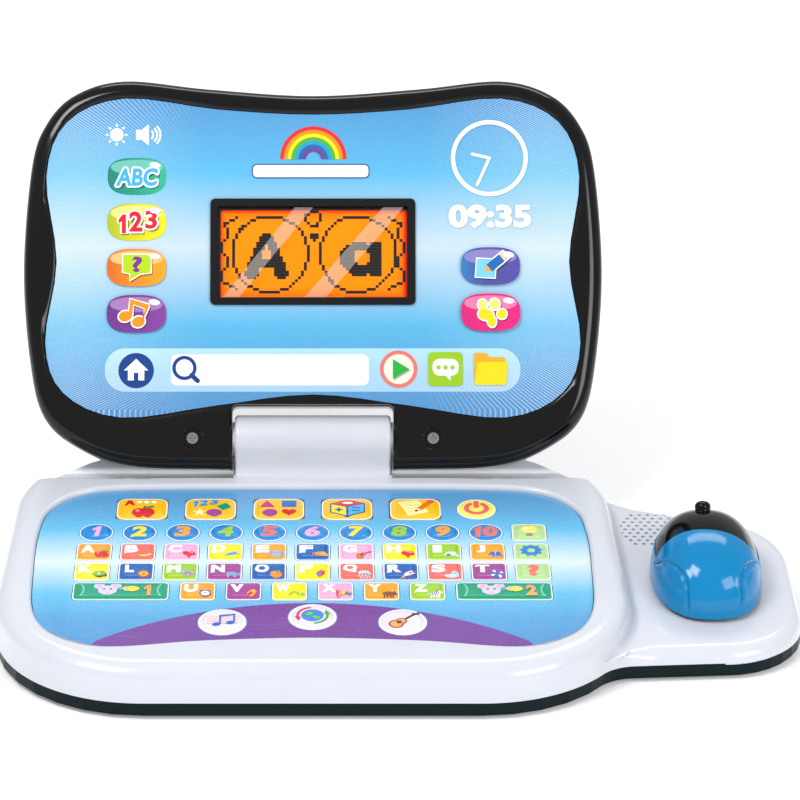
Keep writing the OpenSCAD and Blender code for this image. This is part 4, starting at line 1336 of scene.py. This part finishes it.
def side_buttons():
    s = Sheet()
    x = -73.5
    lid_button(s, "teal_button", x, 109.9, [(-12, "#0B7F6C"), (0, "#149A82"), (12, "#2FB58D")],
               "#6CC0AE")
    s.write("ABC", "#3AAEE4", x, 109.6, 17.0, 7.6, lean=0.1, edge=(0.75, "#0A5A50"))
    glint(s, x, 109.9)
    lid_button(s, "lime_button", x, 90.6, [(-12, "#AEBB10"), (0, "#D3D305"), (12, "#F1E400")],
               "#E2E27C")
    s.one("#E60F1C", x - 6.0, 89.8, 3.6, 8.0, edge=(0.7, "#7B6A10"))
    for digit, at, up, w, h in (("2", -0.4, 0.2, 5.6, 8.6), ("3", 6.0, 1.0, 5.0, 7.8)):
        s.write(digit, "#E60F1C", x + at, 90.6 + up, w, h, edge=(0.7, "#7B6A10"))
    glint(s, x, 90.6)
    lid_button(s, "amber_button", x, 71.4, [(-12, "#D9660C"), (-3, "#EE8500"), (12, "#F6A410")],
               "#F8BE78")
    bubble = np.array([(-5.6, 5.2), (-5.6, -2.2), (-2.6, -2.8), (-2.9, -5.6), (1.6, -2.8),
                       (5.9, -2.4), (5.9, 5.2)]) + (x, 71.6)
    sticker(s, "#8A4A10", [("#B5D600", bubble)])
    s.write("?", "#7A2F92", x + 0.2, 72.8, 4.4, 6.6)
    glint(s, x, 71.4)
    lid_button(s, "plum_button", x, 52.0, [(-12, "#6A2B84"), (0, "#783590"), (12, "#843B99")],
               "#A678B5")
    stems = np.array([(-3.2, -0.6), (-1.8, -0.9), (-1.2, 4.6), (3.6, 2.9), (3.2, -3.2),
                      (2.0, -3.4), (5.4, 3.9), (5.0, 4.6), (-2.6, 6.9)]) + (x, 51.3)
    sticker(s, "#43175A", [("#F39200", oval(x - 4.6, 50.9, 2.7, 2.2, 15)),
                           ("#F39200", oval(x + 0.9, 48.6, 2.7, 2.2, 15)), ("#F39200", stems)])
    glint(s, x, 52.0)
    x = 74.0
    lid_button(s, "violet_button", x, 72.0, [(-12, "#2A7DB8"), (-6, "#3F5BA8"), (0, "#4A4A9E"),
                                             (12, "#5048A0")], "#8A80BC")
    slope = np.array([(0.77, 0.64), (-0.64, 0.77)])
    pencil = np.array([(-1.4, -1.9), (7.6, -1.9), (7.6, 1.9), (-1.4, 1.9)]) @ slope
    tip = np.array([(-3.4, 0), (-1.4, -1.9), (-1.4, 1.9)]) @ slope
    rubber = np.array([(5.4, -1.9), (7.6, -1.9), (7.6, 1.9), (5.4, 1.9)]) @ slope
    sticker(s, "#2C2230", [
        ("#7CCBF3", np.array([(-5.6, 3.6), (2.3, 3.2), (1.9, -4.6), (-6.2, -4.2)]) + (x, 71.6)),
        ("#0F67B4", pencil + (x + 0.6, 72.0)), ("#F7A800", tip + (x + 0.6, 72.0)),
        ("#F6C4B4", rubber + (x + 0.6, 72.0))])
    glint(s, x, 72.0)
    lid_button(s, "rose_button", x, 52.6, [(-12, "#D81673"), (0, "#E0197A"), (12, "#E6127A")],
               "#EC7BA9")
    sticker(s, "#7A0C3C", [
        ("#FFE071", oval(x - 3.4, 55.8, 1.8, 2.1)), ("#FFE071", oval(x + 1.6, 55.9, 2.1, 2.3)),
        ("#FBD900", oval(x + 4.7, 51.8, 1.9, 2.0)), ("#FBD900", oval(x - 2.0, 51.6, 3.2, 2.4, -12)),
        ("#FBD900", oval(x + 0.5, 48.8, 1.7, 2.4, 8))])
    glint(s, x, 52.6)
    printed("lid_buttons", s, on_lid, "lid", FACE_D)


def top_signs():
    """Sun, loudspeaker, rainbow over an empty name plate, and the clock with its time."""
    s = Sheet().put(PAPER, oval(-82.1, 127.5, 2.8))
    s.put(PAPER, *[np.array([(3.5, -0.6), (4.9, 0), (3.5, 0.6)])
                   @ np.array([(math.cos(a), math.sin(a)), (-math.sin(a), math.cos(a))])
                   + (-82.1, 127.5) for a in np.radians(np.arange(8) * 45)])
    s.put(PAPER, [(-74, 125.4), (-71.6, 125.4), (-68.6, 123.0), (-68.6, 132.0), (-71.6, 129.6),
                  (-74, 129.6)])
    s.put(PAPER, *[line(arc((-69.0, 127.5), r, -42, 42, 10), 0.8) for r in (2.2, 3.8, 5.2)])
    for k, colour in enumerate(("#E5232B", "#F39200", "#FFE000", "#4FB033", "#16A0C8", "#2B5FAE",
                                "#6F3A92")):
        s.put(colour, band(0.2, 117.2, 13.9 - 1.54 * k, 12.36 - 1.54 * k, 0, 180, 36))
    s.put(NAVY, rounded(49.0, 5.9, 2.0, centre=(-0.9, 112.1)))
    s.put(PAPER, rounded(48.2, 5.1, 1.7, centre=(-0.9, 112.1)))
    x, y = 73.8, 117.6
    s.put(PAPER, band(x, y, 16.1, 14.3, count=72))
    s.put(PAPER, line([(x, y), (x - 7.1, y + 1.7)], 1.3), line([(x, y), (x - 5.1, y - 11.2)], 1.3))
    s.write("09:35", PAPER, 73.9, 93.0, 34.6, 10.0, weight=0.045)
    printed("lid_signs", s, on_lid, "lid", FACE_D)


def search_bar():
    blend_ink("bar", UP_LID, HINGE, [(19.5, "#A6CCEC"), (28, "#A9D2F0"), (37.6, "#B2DDF6")], True)
    s = Sheet().put("bar", rounded(172.8, 18.1, 8.4, 10, (-0.1, 28.55)))
    s.put(NAVY, oval(-73.5, 28.3, 7.4, count=40))
    s.put(PAPER, [(-78.6, 28.4), (-73.5, 33.2), (-68.4, 28.4)], box_of(-73.5, 26.4, 6.8, 4.4))
    s.put(NAVY, box_of(-73.5, 25.8, 1.9, 3.2))
    s.put(PAPER, rounded(82.2, 12.9, 2.4, centre=(-17.9, 28.55)))
    s.put(NAVY, band(-53.4, 29.4, 5.1, 3.6, count=40), line([(-50.4, 26.4), (-47.9, 24.0)], 2.0))
    s.put("#E8756A", oval(35.7, 28.9, 7.8, count=40)).put(CREAM, oval(35.7, 28.9, 6.2, count=40))
    arrow = grow(np.array([(33.4, 24.9), (40.0, 28.9), (33.4, 32.9)]), 0.3)
    s.put("#A9A79A", arrow + (0.4, -0.6)).put("#1DAE3B", arrow)
    s.put("#97C713", rounded(14.5, 14.2, 1.9, centre=(55.15, 28.9)))
    s.put(PAPER, rounded(10.8, 7.0, 2.9, centre=(55.2, 29.7)),
          [(55.0, 26.6), (57.2, 24.0), (57.2, 26.6)])
    s.put("#97C713", *[oval(x, 29.6, 0.95) for x in (52.3, 55.2, 58.1)])
    s.put("#EAAD12", [(67, 24), (79.8, 24), (79.9, 33.2), (79.2, 33.9), (73.2, 33.9),
                      (72.4, 35.6), (67.6, 35.7), (67, 35)])
    s.put("#FDD900", [(67.9, 22.3), (80.0, 22.3), (80.4, 22.8), (81.0, 31.4), (80.4, 32.0),
                      (68.9, 31.8), (68.4, 31.2), (67.3, 22.9)])
    printed("lid_search_bar", s, on_lid, "lid", FACE_D)


side_buttons()
top_signs()
search_bar()


# ---- display ----

VIEW_SIDE, VIEW_LOW, VIEW_HIGH = 38.9, 58.7, 96.2  # edges of the lit part of the screen
PIXEL = (1.25, 1.21)
PIXELS_AT = (-40.0, 58.5)
LETTER_A = ["......###......", ".....#####.....", ".....#####.....", "....#######....",
            "....###.###....", "...####.####...", "...###...###...", "...###...###...",
            "..####...####..", "..###########..", ".#############.", ".#############.",
            ".####.....####.", "#####.....#####", "#####.....#####", ".###.......###."]
SMALL_A = ["....#####.####", "..############", ".#############", "#####....#####",
           "#####.....####", "#####.....####", "#####.....####", "######...#####",
           ".#############", "..############", "...###########", "....#####.####"]


def panel_glow():
    """Backlit orange that reddens towards the edges of the view."""
    g = Graph("lcd_orange_glow")
    up = g.along(UP_LID, HINGE)
    side = g.calc("SUBTRACT", VIEW_SIDE, g.calc("ABSOLUTE", g.along(ACROSS, HINGE)))
    ends = g.calc("MINIMUM", g.calc("SUBTRACT", up, VIEW_LOW), g.calc("SUBTRACT", VIEW_HIGH, up))
    edge = g.span(g.calc("MINIMUM", side, ends), 0.0, 5.0)
    colour = g.ramp(edge, [(0.0, rgb("#D81808")), (0.1, rgb("#EE4408")), (0.35, rgb("#F07404")),
                           (1.0, rgb("#F18402"))])
    return g.finish(colour, 0.6, mottle=0.03, glow=0.42, specular=0.1)


def pixels():
    """Squares that are on, as a set of (column, row) from the lower left."""
    on = set()
    for art, column, row in ((LETTER_A, 9, 22), (SMALL_A, 41, 19)):
        for j, text in enumerate(art):
            on |= {(column + i, row - j) for i, dot in enumerate(text) if dot == "#"}
    for middle, reach in (((17.2, 15.2), (12.7, 13.2)), ((46.6, 15.2), (12.7, 13.2)),
                          ((31.6, 27.4), (2.6, 2.4)), ((32.2, 21.4), (1.0, 1.0))):
        for step in np.arange(-reach[0] * 0.72, reach[0] * 0.72 + 0.1):
            rise = reach[1] * math.sqrt(1 - (step / reach[0]) ** 2)
            on |= {(round(middle[0] + step), round(middle[1] + side * rise)) for side in (1, -1)}
        for step in np.arange(-reach[1] * 0.72, reach[1] * 0.72 + 0.1):
            rise = reach[0] * math.sqrt(1 - (step / reach[1]) ** 2)
            on |= {(round(middle[0] + side * rise), round(middle[1] + step)) for side in (1, -1)}
    for side in (1, -1):
        column = 31.5 - 29.5 * side
        for row in range(6, 26):
            on.add((round(column + side * 1.2 * math.sin(row * 0.62)), row))
        for step in range(5):
            on.add((round(column + side * step), 26 + step // 2))
            on.add((round(column + side * step), 5 - step // 2))
    return on


def display():
    """A dark mask round the screen's view, partly the panel's own dark border and partly painted
    shadow of the frame in wider bands at the top and left, and each row's pixels joined into runs.
    """
    on = pixels()
    s = Sheet()
    # painted shadow: the opening sits low and to the right, so the dark band is wider at the top
    # and left
    s.put("#0B0A0A", box_of(0, VIEW_S, 87.0, 44.4),
          holes=[rounded(77.9, 37.3, 1.2, centre=(0.4, 77.4))])
    s.put("#FFC21A", box_of(-12.5, 59.3, 52.0, 0.5))
    squares = []
    for row in range(1, 31):
        column = 0
        while column < 64:
            run = column
            while (run, row) in on:
                run += 1
            if run > column:
                x = PIXELS_AT[0] + column * PIXEL[0]
                y = PIXELS_AT[1] + row * PIXEL[1]
                wide = (run - column) * PIXEL[0]
                squares.append(box_of(x + wide / 2, y + PIXEL[1] / 2, wide - 0.02, PIXEL[1] - 0.02))
            column = run + 1
    s.put("#0B0A0A", *squares)
    printed("lcd_pixels", s, on_lid, "lid", 5.62)


def clear_plastic(name, tint, see, rough):
    """Clear plastic as a fixed mix of see-through and a soft, finely scratched sheen."""
    g = Graph(name)
    tree = g.tree
    g.finish(rgb(tint), rough, coat=0.2, mottle=0.03, bump=0.01)
    through = tree.nodes.new("ShaderNodeBsdfTransparent")
    through.inputs[0].default_value = (1, 1, 1, 1)
    both = tree.nodes.new("ShaderNodeMixShader")
    both.inputs[0].default_value = see
    tree.links.new(g.shader.outputs[0], both.inputs[1])
    tree.links.new(through.outputs[0], both.inputs[2])
    tree.links.new(both.outputs[0], tree.nodes["Material Output"].inputs[0])
    return g.material


def window_streaks():
    """Two pale slanting reflections, painted on as a sheet over the window."""
    # painted reflection: a pale, mostly see-through ink for the two streaks
    INKS["haze"] = clear_plastic("ink_haze", "#FFF6EC", 0.8, 0.3)
    s = Sheet().put("haze", [(-37.5, 59.0), (-30.8, 59.0), (0.1, 96.9), (-7.5, 96.9)],
                    [(-3.5, 59.0), (5.4, 59.0), (37.9, 96.9), (29.3, 96.9)])
    printed("window_streaks", s, on_lid, "lid", 8.6)


dress("lcd_panel", panel_glow())
dress("lcd_window", clear_plastic("window_clear", "#15181C", 0.97, 0.08))
display()
window_streaks()


# ---- mouse ----

MOUSE_HALF = (22.0, 32.0)
MOUSE_UP = 26.8
MOUSE_FOOT = 1.8
RIM_UP_MOUSE = 12.0  # the blue runs right round the mouse below this height
HEAD_FROM = -7.6  # the head's shell runs on under the back as far as here
# The back is open where it lies past both of these planes, each a point and a normal.
OPENING = [(Vector((0, -4.6, 24.0)), Vector((0.14, 1.0, -0.04)).normalized()),
           (Vector((0, 0, RIM_UP_MOUSE)), Vector((0, 0.06, 1)))]
NOSE = [(5.6, -1.4), (5.3, -0.25), (4.8, 0.1), (3.7, 0.22), (3.3, 0.1), (3.05, 0.5), (3.2, 1.3),
        (3.2, 2.2), (2.95, 2.9), (2.45, 3.5), (1.6, 4.0), (0.7, 4.22)]  # radius, height
GROOVES = [[(-21.4, -3.5, 10.6), (-20.2, -7.4, 13.2), (-17.4, -13.4, 16.9), (-13.4, -20.3, 17.6),
            (-11.0, -24.9, 15.2), (-10.2, -28.2, 9.8), (-10.2, -30.6, 1.8)],
           [(21.0, -8.0, 11.6), (19.2, -10.6, 15.0), (16.0, -14.6, 17.4), (12.4, -20.0, 18.2),
            (11.0, -24.6, 15.4), (11.2, -27.8, 9.8), (11.6, -30.2, 1.8)]]
MOUSE_BLUE = paint("mouse_blue", "#007EB6", 0.13, coat=0.15, mottle=0.03, bump=0.015, specular=0.3)
MOUSE_BLACK = paint("mouse_black", "#040405", 0.12, coat=0.12, mottle=0.05, bump=0.012,
                    specular=0.16)


def mouse_point(angle, z, inset=0.0):
    """A point of the mouse's soft boxy dome, in the wing's frame."""
    fall = max(0.0, 1 - (z / (MOUSE_UP - inset)) ** 2.5) ** 0.45
    c, s = math.cos(angle), math.sin(angle)
    return ((MOUSE_HALF[0] - inset) * fall * math.copysign(abs(c) ** 0.85, c),
            (MOUSE_HALF[1] - inset) * fall * math.copysign(abs(s) ** 0.85, s), z)


def dome_rings(count, inset=0.0):
    """Rings of the dome from its foot to its crown, closer together towards the crown."""
    top = MOUSE_UP - inset
    turn = np.linspace(0, math.pi / 2 - 0.035, 84)
    heights = MOUSE_FOOT + (top - MOUSE_FOOT) * np.sin(turn)
    angles = np.linspace(0, 2 * math.pi, count + 1)[:-1]
    return [np.array([mouse_point(a, z, inset) for a in angles]) for z in heights]


def smooth_path(points, steps=14):
    """A smooth open curve through points in space."""
    p = np.array([points[0], *points, points[-1]], float)
    out = [q for i in range(len(points) - 1) for q in spline(*p[i:i + 4], steps)]
    return np.array(out + [p[-1]])


def mouse_shell():
    """The blue back: a grooved dome with the head's opening cut out and its edge turned in."""
    points, faces = loft(dome_rings(300), ends=(False, True))
    middle = np.array([0, 0, 8.0])
    for path in GROOVES:
        curve = smooth_path(path)
        away = np.min(np.linalg.norm(points[:, None] - curve[None], axis=2), axis=1)
        sink = 0.85 * np.exp(-(away / 0.6) ** 2) - 0.25 * np.exp(-((away - 1.6) / 0.8) ** 2)
        out = points - middle
        points = points - out / np.linalg.norm(out, axis=1)[:, None] * sink[:, None]
    mesh = bmesh.new()
    corners = [mesh.verts.new(p) for p in points]
    for face in faces:
        mesh.faces.new([corners[i] for i in face])
    for place, normal in OPENING:
        bmesh.ops.bisect_plane(mesh, geom=[*mesh.verts, *mesh.edges, *mesh.faces],
                               plane_co=place, plane_no=normal, dist=1e-5)
    gone = [face for face in mesh.faces
            if all((face.calc_center_median() - place).dot(normal) > 0
                   for place, normal in OPENING)]
    bmesh.ops.delete(mesh, geom=gone, context="FACES")
    mesh.verts.index_update()
    points = [v.co.copy() for v in mesh.verts]
    faces = [tuple(v.index for v in f.verts) for f in mesh.faces]
    rim = [tuple(v.index for v in e.verts) for e in mesh.edges if e.is_boundary]
    mesh.free()
    turned_in = {}
    for i in sorted({i for edge in rim for i in edge}):
        turned_in[i] = len(points)
        points.append(points[i] - (points[i] - Vector((0, 0, 6.0))).normalized() * 1.0)
    faces += [(a, b, turned_in[b], turned_in[a]) for a, b in rim]
    piece("mouse_back", on_wing(points), faces, MOUSE_BLUE, "mouse_top",
          ["mouse_shell"], sharp=50)


def mouse_head():
    """The black head under the blue back, and its round nose in a thin collar."""
    rings = dome_rings(160, 0.35)
    points, faces = loft([ring for ring in rings if ring[0][2] > RIM_UP_MOUSE - 1.5],
                         ends=(False, True))
    faces = [f for f in faces if np.mean([points[i][1] for i in f]) > HEAD_FROM]
    foot, axis = np.array([-0.6, 16.6, 23.05]), np.array([0.0, 0.42, 0.9])
    across, side = np.array([1.0, 0, 0]), np.array([0.0, 0.9, -0.42])
    nose = [np.array([foot + axis * up + r * (np.cos(a) * across + np.sin(a) * side)
                      for a in np.linspace(0, 2 * math.pi, 49)[:-1]]) for r, up in NOSE]
    points, faces = joined([(points, faces), loft(nose, ends=(True, True))])
    piece("mouse_face", on_wing(points), faces, MOUSE_BLACK, "mouse_top",
          ["mouse_head"], sharp=50)


mouse_shell()
mouse_head()


# ---- materials of the CAD parts that stay as they are ----

STEEL_LOOK = {"metal": 1.0, "mottle": 0.12, "bump": 0.03}
KEPT = {
    "base_bottom": ("#06181B", 0.34, {"specular": 0.12}),
    "battery_door": ("#162A2E", 0.36, {"mottle": 0.08}),
    "battery_door_screw": ("#A6A8AC", 0.3, STEEL_LOOK),
    "batteries": ("#C8A24A", 0.3, {"mottle": 0.1}),
    "battery_contacts": ("#B9B4A6", 0.28, STEEL_LOOK),
    "key_guide": ("#9EA2A8", 0.5, {"mottle": 0.06}),
    "switch_membrane": ("#C9D4CF", 0.45, {"mottle": 0.06}),
    "main_board": ("#1E6B3C", 0.4, {"mottle": 0.18, "bump": 0.08}),
    "speaker": ("#18181A", 0.55, {"mottle": 0.12}),
    "base_screws": ("#8C8E92", 0.32, STEEL_LOOK),
    "rubber_feet": ("#232325", 0.75, {"mottle": 0.1, "bump": 0.1}),
    "hinge_rings": ("#E9E7E0", 0.4, {"mottle": 0.05}),
    "base_cable": ("#1B1B1D", 0.45, {"mottle": 0.1}),
    "lcd_frame": ("#08080A", 0.2, {"coat": 0.2, "specular": 0.3}),
    "lcd_backlight": ("#F2EDE2", 0.5, {"mottle": 0.03}),
    "lcd_board": ("#1E6B3C", 0.4, {"mottle": 0.18, "bump": 0.08}),
    "lid_screws": ("#9B9DA1", 0.3, STEEL_LOOK),
    "hinge_pins": ("#A9ABAF", 0.28, STEEL_LOOK),
    "lid_cable": ("#1B1B1D", 0.45, {"mottle": 0.1}),
    "cross_slide": ("#5A5C60", 0.5, {"mottle": 0.07}),
    "mouse_underplate": ("#1C1C1E", 0.4, {"mottle": 0.1}),
    "mouse_retainer": ("#A6A8AC", 0.3, STEEL_LOOK),
    "mouse_click_switch": ("#202022", 0.5, {"mottle": 0.1}),
}
for node, (code, rough, options) in KEPT.items():
    dress(node, paint("look_" + node, code, rough, **options))


# ---- floor, light and camera ----

def floor():
    size = 9.0
    corners = [(-size, -size, 0), (size, -size, 0), (size, size, 0), (-size, size, 0)]
    mesh = bpy.data.meshes.new("floor")
    mesh.from_pydata([(x, y, -0.0002) for x, y, _ in corners], [], [(0, 1, 2, 3)])
    mesh.materials.append(paint("floor_paper", "#F4F4F5", 0.8, mottle=0.004, bump=0.004,
                                specular=0.1, glow=0.22))
    item = bpy.data.objects.new("floor", mesh)
    bpy.context.scene.collection.objects.link(item)


def lamp(name, place, aim, size, power):
    light = bpy.data.lights.new(name, "AREA")
    light.shape = "RECTANGLE"
    light.size, light.size_y = size
    light.energy = power
    item = bpy.data.objects.new(name, light)
    item.location = place
    item.rotation_euler = (Vector(aim) - Vector(place)).to_track_quat("-Z", "Y").to_euler()
    bpy.context.scene.collection.objects.link(item)


def studio():
    world = bpy.data.worlds.new("studio")
    bpy.context.scene.world = world
    world.use_nodes = True
    world.node_tree.nodes["Background"].inputs[0].default_value = (0.97, 0.98, 1.0, 1)
    world.node_tree.nodes["Background"].inputs[1].default_value = 0.56
    lamp("key", (-0.55, -0.5, 1.15), (0, 0, 0.05), (0.5, 0.4), 9.0)
    lamp("top", (0.1, 0.75, 1.1), (0, 0.02, 0.1), (1.1, 0.3), 5.0)
    lamp("fill", (0.8, -0.9, 0.7), (0, 0, 0.05), (0.6, 0.5), 6.0)
    scene = bpy.context.scene
    scene.view_settings.view_transform = "Standard"
    scene.view_settings.look = "None"


def camera():
    """The photograph's view: 23.7 degrees down, from 1.5 m, on the lid's centre line."""
    data = bpy.data.cameras.new("camera")
    data.sensor_width = 36
    data.lens = 153.24
    data.shift_x = 0.1031
    data.clip_end = 50
    item = bpy.data.objects.new("camera", data)
    item.location = (-0.03355, -1.2554, 0.6302)
    item.rotation_euler = (math.radians(66.29), 0, 0)
    bpy.context.scene.collection.objects.link(item)
    bpy.context.scene.camera = item


floor()
studio()
camera()
